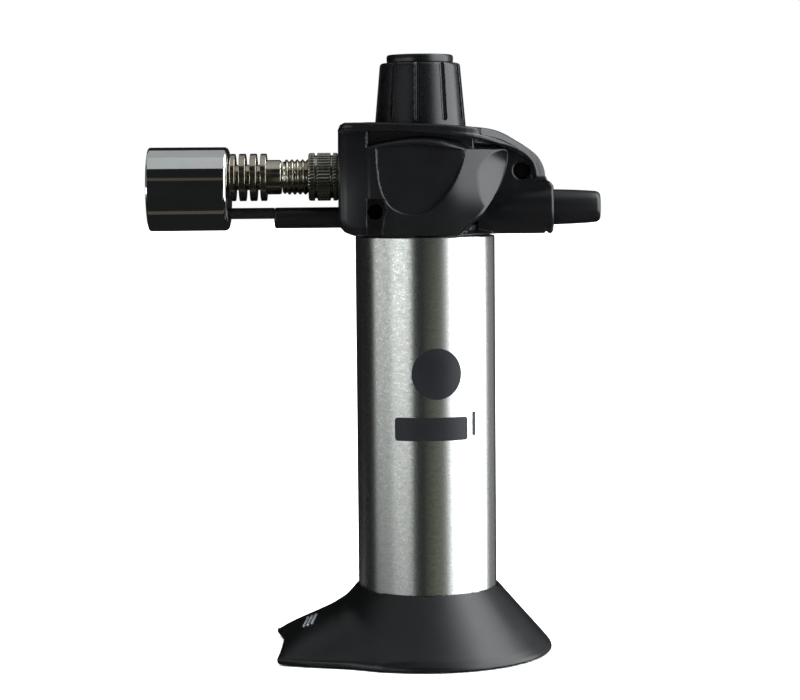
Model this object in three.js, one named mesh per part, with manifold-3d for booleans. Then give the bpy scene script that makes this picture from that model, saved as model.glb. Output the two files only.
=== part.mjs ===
// Small butane torch: refillable aluminium tank on a flared stand, moulded two-half head with a
// rotary gas control on top, a push igniter behind and a finned burner with an eccentric flame
// cup in front. Millimetres, +Z up, burner towards -X, igniter towards +X, origin on the ground
// at the middle of the bounding box.
import * as THREE from 'three';
import { mergeVertices } from 'three/addons/utils/BufferGeometryUtils.js';
import Module from 'manifold-3d';

const wasm = await Module();
wasm.setup();

// ---------------------------------------------------------------- driving dimensions (mm)
const SHIFT_X = 11.715;      // moves the tank axis so that the bounding box is centred on X = 0
const TANK_R = 16.35;        // outside radius of the aluminium sleeve
const TANK_WALL = 0.7;
const TANK_Z0 = 4.6;         // sleeve bottom, standing on the stand's ledge
const TANK_Z1 = 97.9;        // sleeve top, under the head
const HEAD_Z0 = 98.2;        // underside of the head
const HEAD_Z1 = 124.25;       // top of the head
const HEAD_X0 = -20.0;       // front face of the head
const HEAD_X1 = 29.95;       // rear face of the igniter boss
const HEAD_W = 17.0;         // half width over the cheeks
const CORE_W = 12.6;         // half width under the brow
const WEB_W = 5.2;           // half width of the rear web
const SPLIT = 0.15;          // half of the parting gap between the two head shells
const VALVE_X = -0.9;        // axis of the gas valve and its knob
const BURN_Z = 111.8;        // axis of the burner tube
const CUP_Z = 109.15;        // axis of the flame cup, below the burner axis
const CUP_X0 = -64.5;        // mouth of the flame cup
const CUP_X1 = -45.7;        // closed end of the flame cup
const ELEC_Z = 103.37;       // axis of the electrode
const ARM_Z = 102.25;        // axis of the electrode holder
const ARM_R = 2.45;
const FIN_R = 5.54;
const FIN_ROOT_R = 2.98;
const THREAD_R = 4.15;       // M8 thread on the burner tube
const THREAD_ROOT_R = 3.62;
const THREAD_PITCH = 1.25;
const COLLAR_R = 5.6;        // knurled air collar
const COLLAR_X0 = -27.1;
const COLLAR_X1 = -20.3;
const IGN_Z = 104.3;         // axis of the igniter and its push button
const BUTTON_X1 = 41.07;
const BUTTON_TRAVEL = 4.5;
const KNOB_Z0 = 122.9;
const KNOB_SEAT_Z = 122.6;     // floor of the round seat the knob turns in
const KNOB_Z1 = 138.1;
const KNOB_R0 = 10.6;
const KNOB_R1 = 9.3;
const KNOB_FLUTES = 10;
const CAP_Z1 = 140.0;
const STAND_R = 29.4;
const STAND_Z1 = 15.45;
const STAND_BORE_R = 16.65;
const STAND_HOLE_R = 11.5;
const SCREW_FRONT = [-11.5, 103.8];
const SCREW_REAR = [22.6, 112.9];

// ---------------------------------------------------------------- helpers
function solid(geometry) {
  const g = geometry.index ? geometry.toNonIndexed() : geometry.clone();
  for (const name of Object.keys(g.attributes)) if (name !== 'position') g.deleteAttribute(name);
  const m = mergeVertices(g, 1e-4);
  const idx = m.index.array, tri = [];
  for (let i = 0; i < idx.length; i += 3) {
    const [a, b, c] = [idx[i], idx[i + 1], idx[i + 2]];
    if (a !== b && b !== c && c !== a) tri.push(a, b, c);
  }
  const mesh = new wasm.Mesh({ numProp: 3, vertProperties: new Float32Array(m.attributes.position.array),
    triVerts: new Uint32Array(tri) });
  let s = new wasm.Manifold(mesh);
  if (s.volume() < 0) {
    const flip = [];
    for (let i = 0; i < tri.length; i += 3) flip.push(tri[i], tri[i + 2], tri[i + 1]);
    s = new wasm.Manifold(new wasm.Mesh({ numProp: 3,
      vertProperties: new Float32Array(m.attributes.position.array), triVerts: new Uint32Array(flip) }));
  }
  return s;
}
function toGeometry(s) {
  const m = s.getMesh(), g = new THREE.BufferGeometry();
  g.setAttribute('position', new THREE.BufferAttribute(new Float32Array(m.vertProperties), 3));
  g.setIndex(new THREE.BufferAttribute(new Uint32Array(m.triVerts), 1));
  return g;
}
const add = (...s) => s.reduce((a, b) => a.add(b));
const cut = (a, ...s) => s.reduce((x, y) => x.subtract(y), a);

// turned piece: closed (r, t) profile round the Z axis; the axis may also run along X
function turn(points, seg = 32) {
  const v = points.map(([r, z]) => new THREE.Vector2(r, z));
  const first = points[0], last = points[points.length - 1];
  if (first[0] > 0 || last[0] > 0) v.push(new THREE.Vector2(first[0], first[1]));
  const g = new THREE.LatheGeometry(v, seg);
  g.rotateX(Math.PI / 2);
  return g;
}
const onZ = (points, x = 0, y = 0, seg = 32) => solid(turn(points, seg).translate(x, y, 0));
function onX(points, z = 0, y = 0, seg = 32, sy = 1) {
  const g = turn(points, seg);
  g.rotateY(Math.PI / 2);          // the profile's t now runs along +X
  g.scale(1, sy, 1);
  return solid(g.translate(0, y, z));
}
const rod = (r, t0, t1) => [[0, t0], [r, t0], [r, t1], [0, t1]];
const ring = (r0, r1, t0, t1) => [[r0, t0], [r1, t0], [r1, t1], [r0, t1]];
const box = (x0, x1, y0, y1, z0, z1) => solid(new THREE.BoxGeometry(x1 - x0, y1 - y0, z1 - z0)
  .translate((x0 + x1) / 2, (y0 + y1) / 2, (z0 + z1) / 2));
const shapeOf = (pts) => new THREE.Shape(pts.map(([a, b]) => new THREE.Vector2(a, b)));
// side outline in (x, z), pushed out towards -Y from y = 0 to y = -depth, with an edge chamfer
function side(pts, depth, bevel = 0) {
  const g = new THREE.ExtrudeGeometry(shapeOf(pts), bevel > 0
    ? { depth: depth - bevel, bevelEnabled: true, bevelThickness: bevel, bevelSize: bevel, bevelOffset: -bevel, bevelSegments: 1, steps: 1 }
    : { depth, bevelEnabled: false, steps: 1 });
  g.rotateX(Math.PI / 2);
  return solid(g);
}
// body between y = 0 and the curved face y = -depth(x, z), over a grid of x and z
function field(xs, zs, depth) {
  const pos = [], tri = [], nx = xs.length, nz = zs.length, at = (i, k, back) => (back * nx + i) * nz + k;
  for (const back of [0, 1]) for (const x of xs) for (const z of zs) pos.push(x, back ? 0 : -depth(x, z), z);
  const quad = (a, b, c, d) => tri.push(a, b, c, a, c, d);
  for (let i = 0; i + 1 < nx; i++) for (let k = 0; k + 1 < nz; k++) {
    quad(at(i, k, 0), at(i + 1, k, 0), at(i + 1, k + 1, 0), at(i, k + 1, 0));
    quad(at(i, k, 1), at(i, k + 1, 1), at(i + 1, k + 1, 1), at(i + 1, k, 1));
  }
  for (let i = 0; i + 1 < nx; i++) {
    quad(at(i, 0, 0), at(i, 0, 1), at(i + 1, 0, 1), at(i + 1, 0, 0));
    quad(at(i, nz - 1, 0), at(i + 1, nz - 1, 0), at(i + 1, nz - 1, 1), at(i, nz - 1, 1));
  }
  for (let k = 0; k + 1 < nz; k++) {
    quad(at(0, k, 0), at(0, k + 1, 0), at(0, k + 1, 1), at(0, k, 1));
    quad(at(nx - 1, k, 0), at(nx - 1, k, 1), at(nx - 1, k + 1, 1), at(nx - 1, k + 1, 0));
  }
  const g = new THREE.BufferGeometry();
  g.setAttribute('position', new THREE.BufferAttribute(new Float32Array(pos), 3));
  g.setIndex(tri);
  return solid(g);
}
// plan outline in (x, y), from z0 up to z1
const plan = (pts, z0, z1) => solid(new THREE.ExtrudeGeometry(shapeOf(pts),
  { depth: z1 - z0, bevelEnabled: false, steps: 1 }).translate(0, 0, z0));
function hole(r, axis, at, t0, t1, seg = 20) {   // round bar for drilling
  const p = rod(r, t0, t1);
  if (axis === 'z') return onZ(p, at[0], at[1], seg);
  if (axis === 'x') return onX(p, at[1], at[0], seg);
  const g = turn(p, seg);
  g.rotateX(-Math.PI / 2);         // t along +Y
  return solid(g.translate(at[0], 0, at[1]));
}
function smooth(pts, n, closed = false) {
  const c = new THREE.CatmullRomCurve3(pts.map(([a, b]) => new THREE.Vector3(a, b, 0)), closed, 'centripetal');
  return c.getPoints(n).map((p) => [p.x, p.y]);
}
function torus(R, r, seg = 18, sides = 6) {
  return new THREE.TorusGeometry(R, r, sides, seg);    // ring round the Z axis
}
// wire along a path
function wire(points, r, steps, sides = 6) {
  const path = new THREE.CatmullRomCurve3(points.map((p) => new THREE.Vector3(...p)), false, 'centripetal');
  const s = new THREE.Shape();
  s.absarc(0, 0, r, 0, Math.PI * 2, false);
  const pts = [];
  for (let i = 0; i < sides; i++) pts.push(new THREE.Vector2(r * Math.cos(2 * Math.PI * i / sides), r * Math.sin(2 * Math.PI * i / sides)));
  return new THREE.ExtrudeGeometry(new THREE.Shape(pts), { steps, bevelEnabled: false, extrudePath: path });
}
// compression spring round Z from z0 to z1
function spring(R, r, z0, z1, turns, perTurn = 12, sides = 5) {
  class Helix extends THREE.Curve {
    getPoint(t, target = new THREE.Vector3()) {
      const a = t * turns * 2 * Math.PI;
      return target.set(R * Math.cos(a), R * Math.sin(a), z0 + r + (z1 - z0 - 2 * r) * t);
    }
  }
  const pts = [];
  for (let i = 0; i < sides; i++) pts.push(new THREE.Vector2(r * Math.cos(2 * Math.PI * i / sides), r * Math.sin(2 * Math.PI * i / sides)));
  return new THREE.ExtrudeGeometry(new THREE.Shape(pts), { steps: Math.round(turns * perTurn), bevelEnabled: false, extrudePath: new Helix() });
}

const torch = new THREE.Group();
const assembly = new THREE.Group();
assembly.position.x = SHIFT_X;
torch.add(assembly);
const LOOK = {
  black: [0x1d1e22, 0.42, 0.0], matte: [0x212226, 0.6, 0.0], alu: [0xb9bbb8, 0.34, 1.0],
  chrome: [0xd8dadc, 0.06, 1.0], nickel: [0x8c8272, 0.32, 1.0], knurl: [0x57544d, 0.4, 1.0],
  brass: [0xb08d4a, 0.35, 1.0], steel: [0x9a9c9e, 0.3, 1.0], rubber: [0x151515, 0.8, 0.0],
  nylon: [0xd9d6cc, 0.55, 0.0], ceramic: [0x222226, 0.5, 0.0], wire: [0xa32018, 0.5, 0.0], felt: [0xcfc8b8, 0.95, 0.0],
};
function piece(name, look, what) {
  const [color, roughness, metalness] = LOOK[look];
  const geometry = what.isBufferGeometry ? toGeometry(solid(what)) : toGeometry(what);
  const mesh = new THREE.Mesh(geometry, new THREE.MeshStandardMaterial({ color, roughness, metalness }));
  mesh.name = name;
  assembly.add(mesh);
  return mesh;
}

// ---------------------------------------------------------------- stand
{
  const outer = onZ([[0, 0], [STAND_R - 0.2, 0], [STAND_R, 0.3], [STAND_R - 0.08, 0.85], [28.95, 1.5], [28.3, 2.35],
    [STAND_BORE_R + 0.2, STAND_Z1], [0, STAND_Z1]], 0, 0, 56);
  // toe: a wide tongue under the burner, its end scalloped between two horns; low at the edges,
  // rising to a crown that runs up into the cone
  const endX = (y) => -34.8 - 1.3 * Math.min(1, Math.abs(y) / 18.4) ** 2 + (Math.abs(y) > 18.4 ? 0.55 * (Math.abs(y) - 18.4) ** 2 : 0);
  const widthAt = [[-35.7, 19.9], [-32.2, 20.5], [-28.3, 21.4], [-23.7, 22.4], [-19, 23.5], [-15.6, 24.6], [-12, 26.4]];
  const crownAt = [[-36.1, 2.6], [-35.2, 3.7], [-34, 4.9], [-32.5, 5.9], [-30, 7.2], [-28.2, 8.0], [-25.3, 9.3], [-22.4, 10.6], [-20.2, 11.5], [-12, 11.9]];
  const table = (t, x) => {
    if (x <= t[0][0]) return t[0][1];
    for (let i = 1; i < t.length; i++) if (x <= t[i][0]) return t[i - 1][1] + (t[i][1] - t[i - 1][1]) * (x - t[i - 1][0]) / (t[i][0] - t[i - 1][0]);
    return t[t.length - 1][1];
  };
  const toeGeometry = (() => {
    const us = [0, 0.07, 0.15, 0.24, 0.35, 0.48, 0.62, 0.8, 1], vs = [-1, -0.95, -0.85, -0.7, -0.5, -0.25, 0, 0.25, 0.5, 0.7, 0.85, 0.95, 1];
    const pos = [], tri = [], n = vs.length, at = (i, j, low) => (low * us.length + i) * n + j;
    for (const low of [0, 1]) for (const u of us) for (const v of vs) {
      const x0 = -35.7 + u * 23.7, w = table(widthAt, x0), y = v * w, x = endX(v * 19.9) * (1 - u) - 12 * u;
      const edge = 1.6 + 0.1 * u;
      pos.push(x, y, low ? 0 : edge + (table(crownAt, x) - edge) * (1 - v * v));
    }
    const quad = (a, b, c, d) => tri.push(a, b, c, a, c, d);
    for (let i = 0; i + 1 < us.length; i++) for (let j = 0; j + 1 < n; j++) {
      quad(at(i, j, 0), at(i + 1, j, 0), at(i + 1, j + 1, 0), at(i, j + 1, 0));
      quad(at(i, j, 1), at(i, j + 1, 1), at(i + 1, j + 1, 1), at(i + 1, j, 1));
    }
    for (let i = 0; i + 1 < us.length; i++) {
      quad(at(i, 0, 0), at(i, 0, 1), at(i + 1, 0, 1), at(i + 1, 0, 0));
      quad(at(i, n - 1, 0), at(i + 1, n - 1, 0), at(i + 1, n - 1, 1), at(i, n - 1, 1));
    }
    for (let j = 0; j + 1 < n; j++) {
      quad(at(0, j, 0), at(0, j + 1, 0), at(0, j + 1, 1), at(0, j, 1));
      quad(at(us.length - 1, j, 0), at(us.length - 1, j, 1), at(us.length - 1, j + 1, 1), at(us.length - 1, j + 1, 0));
    }
    const g = new THREE.BufferGeometry();
    g.setAttribute('position', new THREE.BufferAttribute(new Float32Array(pos), 3));
    g.setIndex(tri);
    return g;
  })();
  const toe = solid(toeGeometry);
  let body = outer.add(toe);
  // tank socket with a ledge, and the hole that leaves the filling valve free
  body = cut(body, onZ(rod(STAND_BORE_R, TANK_Z0 - 0.3, 30), 0, 0, 48), onZ(rod(STAND_HOLE_R, -1, 30), 0, 0, 32));
  // moulding pockets under the skirt, with radial ribs left standing
  const ribs = 10;
  for (let i = 0; i < ribs; i++) {
    const a0 = (i + 0.09) * 2 * Math.PI / ribs, a1 = (i + 0.91) * 2 * Math.PI / ribs, pts = [], n = 3;
    for (let k = 0; k <= n; k++) { const a = a0 + (a1 - a0) * k / n; pts.push([26.4 * Math.cos(a), 26.4 * Math.sin(a)]); }
    for (let k = n; k >= 0; k--) { const a = a0 + (a1 - a0) * k / n; pts.push([18.3 * Math.cos(a), 18.3 * Math.sin(a)]); }
    const wedge = plan(pts, -1, 13);
    const under = onZ([[0, -1], [26.4, -1], [26.4, 1.2], [17.6, 11.6], [0, 11.6]], 0, 0, 30);
    body = body.subtract(wedge.intersect(under));
  }
  piece('stand', 'matte', body);
}

// ---------------------------------------------------------------- tank
piece('tank_sleeve', 'alu', onZ(ring(TANK_R - TANK_WALL, TANK_R, TANK_Z0, TANK_Z1), 0, 0, 56));
piece('fuel_tank', 'nylon', onZ([[3.4, 6.5], [15.35, 6.5], [15.35, 94.3], [14.1, 94.3], [14.1, 8.2], [3.4, 8.2]], 0, 0, 28));
piece('tank_bottom_cap', 'matte', onZ(ring(5.2, 15.35, 4.9, 6.2), 0, 0, 28));
{
  let cap = onZ([[0, 94.6], [15.35, 94.6], [15.35, 97.6], [12.9, 97.6], [12.9, 100.4], [0, 100.4]], 0, 0, 32);
  cap = cut(cap, hole(4.3, 'z', [VALVE_X, 0], 90, 105, 20), hole(5.9, 'z', [VALVE_X, 0], 99.2, 105, 20));
  piece('tank_top_cap', 'matte', cap);
}
piece('valve_seal', 'rubber', torus(5.0, 0.5).translate(VALVE_X, 0, 99.9));
piece('wick', 'felt', onZ(rod(1.3, 14.6, 89.6), VALVE_X, 0, 14));

// filling valve under the tank
piece('refill_valve_body', 'brass', onZ([[1.25, 3.6], [3.05, 3.6], [3.05, 8.5], [4.6, 8.5], [4.6, 9.6], [3.05, 9.6], [3.05, 13.6],
  [0.8, 13.6], [0.8, 12.6], [2.15, 12.6], [2.15, 7.2], [1.25, 7.2]], 0, 0, 20));
piece('refill_stem', 'brass', onZ([[0, 2.6], [0.7, 2.6], [0.95, 2.9], [0.95, 8.6], [1.75, 8.6], [1.75, 9.3], [0, 9.3]], 0, 0, 14));
piece('refill_seal', 'rubber', torus(1.6, 0.35, 14, 5).translate(0, 0, 7.9));
piece('refill_spring', 'steel', spring(1.45, 0.22, 9.5, 12.4, 3, 10, 5));

// ---------------------------------------------------------------- gas valve on the tank top
{
  let v = onZ([[0, 90], [3.9, 90], [3.9, 100.6], [5.8, 100.6], [5.8, 103.4], [5.4, 103.4], [5.4, 116.2], [3.2, 116.2], [3.2, 118.6],
    [0, 118.6]], VALVE_X, 0, 24);
  v = cut(v, hole(1.65, 'z', [VALVE_X, 0], 106.2, 120, 16), hole(0.7, 'z', [VALVE_X, 0], 80, 107, 8),
    hole(2.15, 'x', [0, BURN_Z], -12, VALVE_X, 16));
  piece('gas_valve_body', 'brass', v);
  piece('gland_nut', 'brass', onZ([[1.65, 119.0], [1.65, 120.6], [4.3, 120.6], [4.3, 116.5], [3.5, 116.5], [3.5, 119.0]], VALVE_X, 0, 18));
  piece('spindle_seal', 'rubber', torus(2.35, 0.4, 16, 5).translate(VALVE_X, 0, 121.4));
  piece('needle_spindle', 'steel', onZ([[0, 105.9], [0.25, 105.9], [1.3, 108.4], [1.3, 135.2], [0.85, 135.2], [0.85, 129.2], [0, 129.2]], VALVE_X, 0, 16));
  piece('jet', 'brass', onX([[0.35, -16.4], [1.0, -16.4], [1.95, -14.9], [1.95, -13.4], [3.5, -13.4], [3.5, -11.2], [1.85, -11.2], [1.85, -4.2], [0.35, -4.2]], BURN_Z, 0, 18));
}

// ---------------------------------------------------------------- knob
{
  let k = onZ([[1.65, 127], [3.2, 127], [3.2, 134.6], [7.7, 134.6], [8.9, KNOB_Z0], [KNOB_R0, KNOB_Z0], [KNOB_R0, KNOB_Z0 + 0.6],
    [KNOB_R1 + 0.05, KNOB_Z1 - 0.6], [KNOB_R1 - 0.5, KNOB_Z1], [4.2, KNOB_Z1], [4.2, 136.2], [1.65, 136.2]], VALVE_X, 0, 40);
  for (let i = 0; i < KNOB_FLUTES; i++) {
    // narrow flute that dies out above the skirt and follows the taper
    const a = -Math.PI / 2 - 4 * Math.PI / 180 + i * 2 * Math.PI / KNOB_FLUTES;
    const g = new THREE.BoxGeometry(1.3, 0.95, 14);
    g.rotateY(Math.atan((KNOB_R0 - KNOB_R1) / (KNOB_Z1 - KNOB_Z0)) * -1);
    g.translate(9.72 + 0.25, 0, 131.7);
    g.rotateZ(a);
    k = k.subtract(solid(g.translate(VALVE_X, 0, 0)));
  }
  piece('gas_knob', 'black', k);
  piece('knob_cap', 'black', onZ([[0, 137.75], [3.9, 137.75], [3.9, 138.4], [7.7, 138.4], [7.75, 139.3], [7.3, 139.85], [6.6, CAP_Z1], [0, CAP_Z1]], VALVE_X, 0, 32));
  piece('knob_screw', 'steel', onZ([[0, 129.6], [0.6, 129.6], [0.6, 136.5], [2.6, 136.5], [2.6, 137.4], [0, 137.4]], VALVE_X, 0, 16));
}

// ---------------------------------------------------------------- head shells
// outlines in (x, z)
const topLine = [[11.5, 122.98], [13.35, 122.8], [15.2, 122.5], [17.1, 121.95], [19.0, 121.1], [20.8, 120.05], [22.7, 118.95],
  [24.6, 117.7], [26.3, 116.15], [27.3, 114.5], [27.9, 112.9], [28.1, 111.4], [28.4, 110.6]];
const silhouette = [[HEAD_X0, 101.6], [-19.6, 100.2], [-18.6, 99.1], [-17.2, 98.5], [-16.2, HEAD_Z0], [29.4, HEAD_Z0], [HEAD_X1, 98.9], [HEAD_X1, 109.2],
  [29.4, 110.1], ...topLine.slice().reverse(), [8.5, 123.25], [5, 123.55], [-2, 123.95], [-12, HEAD_Z1], [-18.4, HEAD_Z1], [-19.5, 123.7], [HEAD_X0, 122.6]];
const cheek = [[-13.3, HEAD_Z0], [-13.3, 118.9], [-10.3, 119.5], [-6.3, 120.2], [-3, 120.6], [0.3, 120.7], [5, 120.2], [9.1, 119.4], [13.5, 118.7], [17.8, 118.2],
  [18.8, 117.9], [19.1, 117.1], [18.9, 114.6], [17.8, 111.0], [16.9, 108.9], [15.6, 106.7], [14.4, 104.9], [12.9, 102.75], [11.2, 101.1], [8.95, 99.4], [7.4, HEAD_Z0]];
const dish = [[-11.1, 118.2], [-6.5, 118.8], [-1.9, 119.05], [3.6, 118.6], [9.05, 117.7], [8.6, 115.5], [7.3, 112], [6.1, 109.7], [4.6, 107.6], [3.0, 105.7], [1.1, 104.1],
  [-1.1, 103.25], [-3.4, 103.1], [-5.7, 103.6], [-7.7, 104.65], [-9.3, 106.9], [-10.3, 109.5], [-10.9, 114]];
const frontBlock = [[HEAD_X0, 101.6], [-19.6, 100.2], [-18.6, 99.1], [-17.2, 98.5], [-16.2, HEAD_Z0], [-5, HEAD_Z0], [-5, 118], [-13.3, 118.5], [-13.3, HEAD_Z1], [-18.4, HEAD_Z1], [-19.5, 123.7], [HEAD_X0, 122.6]];
const core = [[-14, HEAD_Z0], [-14, 123.2], [-2, 123.2], [5, 123.0], [11.2, 122.4], [11.2, 101.1], [8.9, HEAD_Z0]];
// half width of the cheeks: crowned in height, drawn in towards both ends
const up = (v) => Math.max(v, 0);
const crownDrop = (z) => 1.7 * (up(z - 107) / 12) ** 2 + 0.5 * (up(107 - z) / 9) ** 2;
const cheekHalf = (x, z) => HEAD_W - crownDrop(z) - 0.017 * up(x - 1) ** 2 - 0.011 * up(-9 - x) ** 2;
const dishHalf = (x, z) => HEAD_W - 0.5 - crownDrop(z) - 0.055 * (x + 11);
const FACE_X = [-21, -18, -15, -12, -9, -4, 1, 4, 7, 10, 13, 16, 20], FACE_Z = [97, 101, 104, 107, 110, 113, 116, 119, 122, 125];

function shell(near) {
  const silh = side(silhouette, 40);
  const face = field(FACE_X, FACE_Z, cheekHalf);
  let s = add(
    side(silhouette, WEB_W, 0.7),
    side(cheek, HEAD_W, 1.0).intersect(face),
    side(frontBlock, 40).intersect(face).intersect(plan([[-20, 0], [-20, -12.4], [-19.5, -14.1], [-18.3, -15.1], [-16.5, -15.7], [-12, -17.2], [0, -17.5], [0, 0]], 90, 130)),
    side(core, CORE_W, 0),
    // wall under the rim, running back into the web
    plan([[-14, 0], [-14, -CORE_W], [5, -CORE_W], [11, -11.3], [16, -8.9], [20.5, -6.2], [23, -5.0], [23, 0]], 117.6, 122.4).intersect(silh),
  );
  // top plate: round front corners, drawn in towards the tail
  const brow = plan([[-20, 0], [-20, -11], [-19, -13.6], [-16.6, -14.6], [6, -14.6], [11, -13.6], [16, -11.2], [20.5, -8.2], [24.5, -6.3], [29, -5.8], [29, 0]],
    90, HEAD_Z1 + 1);
  const rim = side([[-20, 122.1], [-13.3, 122.2], [-5.7, 122.1], [3.4, 121.4], [10.3, 120.65], [13.8, 120.05], [17.3, 119.0], [19.6, 118.0], [21.5, 116.9], [23.2, 115.65], [24.1, 114.6], [24.7, 113.2], [25.2, 110.8], [29.95, 110.5],
    [29.95, 124.5], [-20, 124.5]], 40);
  s = s.add(brow.intersect(rim).intersect(silh));
  // round shoulder over the tank top, igniter boss
  s = s.add(onZ([[0, HEAD_Z0], [16.55, HEAD_Z0], [16.55, 98.9], [12.5, 101.4], [0, 101.4]], 0, 0, 48));
  s = s.add(onX([[0, 10.5], [3.1, 12], [4.1, 14.5], [4.9, 17], [5.45, 20], [5.75, 23], [5.95, 26], [6.15, 28.6], [6.1, HEAD_X1], [0, HEAD_X1]], IGN_Z, 0, 28, 1.18));
  s = s.intersect(box(-40, 60, -40, -SPLIT, 90, 130)).intersect(side(silhouette.map(([x, z]) => [x, z]), 40));
  // room for the valve, jet and wiring; the floor stays as the clamp round the tank neck
  s = cut(s,
    side([[-18.2, 100.4], [-18.2, 121.9], [-4, 121.9], [4, 121.8], [9.6, 121], [9.6, 101.6], [8, 100.4]], 11.2),
    side([[-11.9, 100.4], [-11.9, 115.5], [7.0, 115.5], [7.0, 111], [3.0, 104], [0, 100.8]], 12.9),
    side([[-18.2, 101.9], [-18.2, 121.9], [-14.6, 121.9], [-14.6, 101.9]], 13.4),
    onZ(rod(13.2, 90, 101.6), 0, 0, 36),
    hole(2.9, 'z', [VALVE_X, 0], 115, 130, 24),
    hole(11.2, 'z', [VALVE_X, 0], KNOB_SEAT_Z, 130, 40),
    hole(4.05, 'x', [0, BURN_Z], -30, -15, 28),
    hole(ARM_R + 0.3, 'x', [0, ARM_Z], -30, -15, 24),
    hole(4.3, 'x', [0, IGN_Z], 4, 23, 20),
    hole(5.0, 'x', [0, IGN_Z], 21.8, 28.4, 24),
    hole(4.4, 'x', [0, IGN_Z], 20, 40, 28),
  );
  // screw posts
  const post = hole(2.9, 'y', SCREW_FRONT, -15.4, -SPLIT, 20).intersect(box(-40, 60, -16, -SPLIT, 100.9, 130));
  s = s.add(post.intersect(box(-16, -5, -15.4, -SPLIT, 100, 110)));
  // shallow shield-shaped dish in the cheek
  s = s.subtract(side(dish, 40).subtract(field([-14, -11, 12], FACE_Z, dishHalf)));
  if (near) {
    const pocket = box(-13.3, -9.2, -40, -(HEAD_W - 3.2), HEAD_Z0 - 1, 106.7);
    s = cut(s, pocket.intersect(side([[-13.3, 95], [-13.3, 106.7], [-9.4, 106.7], [-8.9, 104.5], [-9.6, 102.2], [-10.4, 95]], 40)),
      hole(1.75, 'y', SCREW_FRONT, -40, -6, 20), hole(1.3, 'y', SCREW_FRONT, -7, 1, 16),
      hole(1.9, 'y', SCREW_REAR, -40, -2.4, 20), hole(1.3, 'y', SCREW_REAR, -3, 1, 16));
  } else {
    s = cut(s, hole(1.3, 'y', SCREW_FRONT, -10, 1, 16), hole(1.3, 'y', SCREW_REAR, -4.2, 1, 16));
  }
  if (near) return s;
  const m = s.getMesh(), v = new Float32Array(m.vertProperties), t = new Uint32Array(m.triVerts);
  for (let i = 1; i < v.length; i += 3) v[i] = -v[i];
  for (let i = 0; i < t.length; i += 3) [t[i + 1], t[i + 2]] = [t[i + 2], t[i + 1]];
  return new wasm.Manifold(new wasm.Mesh({ numProp: 3, vertProperties: v, triVerts: t }));
}
piece('head_shell_near', 'black', shell(true));
piece('head_shell_far', 'black', shell(false));
function screw(name, [x, z], yHead, yTip) {
  const g = turn([[0, yTip], [1.0, yTip], [1.0, yHead + 1.3], [1.55, yHead + 1.3], [1.55, yHead], [0, yHead]].map(([r, t]) => [r, t]), 16);
  g.rotateX(-Math.PI / 2);
  piece(name, 'steel', g.translate(x, 0, z));
}
screw('shell_screw_front', SCREW_FRONT, -7.8, 8.5);
screw('shell_screw_rear', SCREW_REAR, -3.9, 3.6);

// ---------------------------------------------------------------- igniter
piece('piezo_case', 'nylon', onX([[0, 5.9], [3.9, 5.9], [3.9, 21.8], [2.9, 21.8], [2.9, 11.4], [0, 11.4]], IGN_Z, 0, 20));
piece('piezo_contact', 'brass', box(5.25, 5.7, -1.6, 1.6, IGN_Z - 1.6, IGN_Z + 1.6));
{
  const g = spring(2.2, 0.3, 11.7, 19.4, 5, 11, 5);
  g.rotateY(Math.PI / 2);
  piece('piezo_spring', 'steel', g.translate(0, 0, IGN_Z));
}
piece('piezo_plunger', 'nylon', onX([[0, 19.7], [2.6, 19.7], [2.6, 26.2], [2.1, 26.2], [2.1, 33.3], [0, 33.3]], IGN_Z, 0, 18));
piece('ignition_button', 'black', onX([[2.4, 26.6], [4.75, 26.6], [4.75, 28.1], [4.15, 28.1], [4.1, 31], [3.98, 35], [3.75, 38.5], [3.6, 40.1], [3.25, 40.8],
  [2.7, BUTTON_X1], [0, BUTTON_X1], [0, 33.6], [2.4, 33.6]], IGN_Z, 0, 26));
piece('ignition_wire', 'wire', wire([[5.4, 2.4, 104.3], [5.0, 5.6, 104.8], [1.5, 8.8, 106.2], [-4, 9.4, 107.6], [-9.5, 8.6, 108.4], [-13.4, 6.8, 108.0],
  [-15.1, 4.6, 107.0], [-15.2, 2.2, 105.2]], 0.5, 22, 6));

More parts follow.
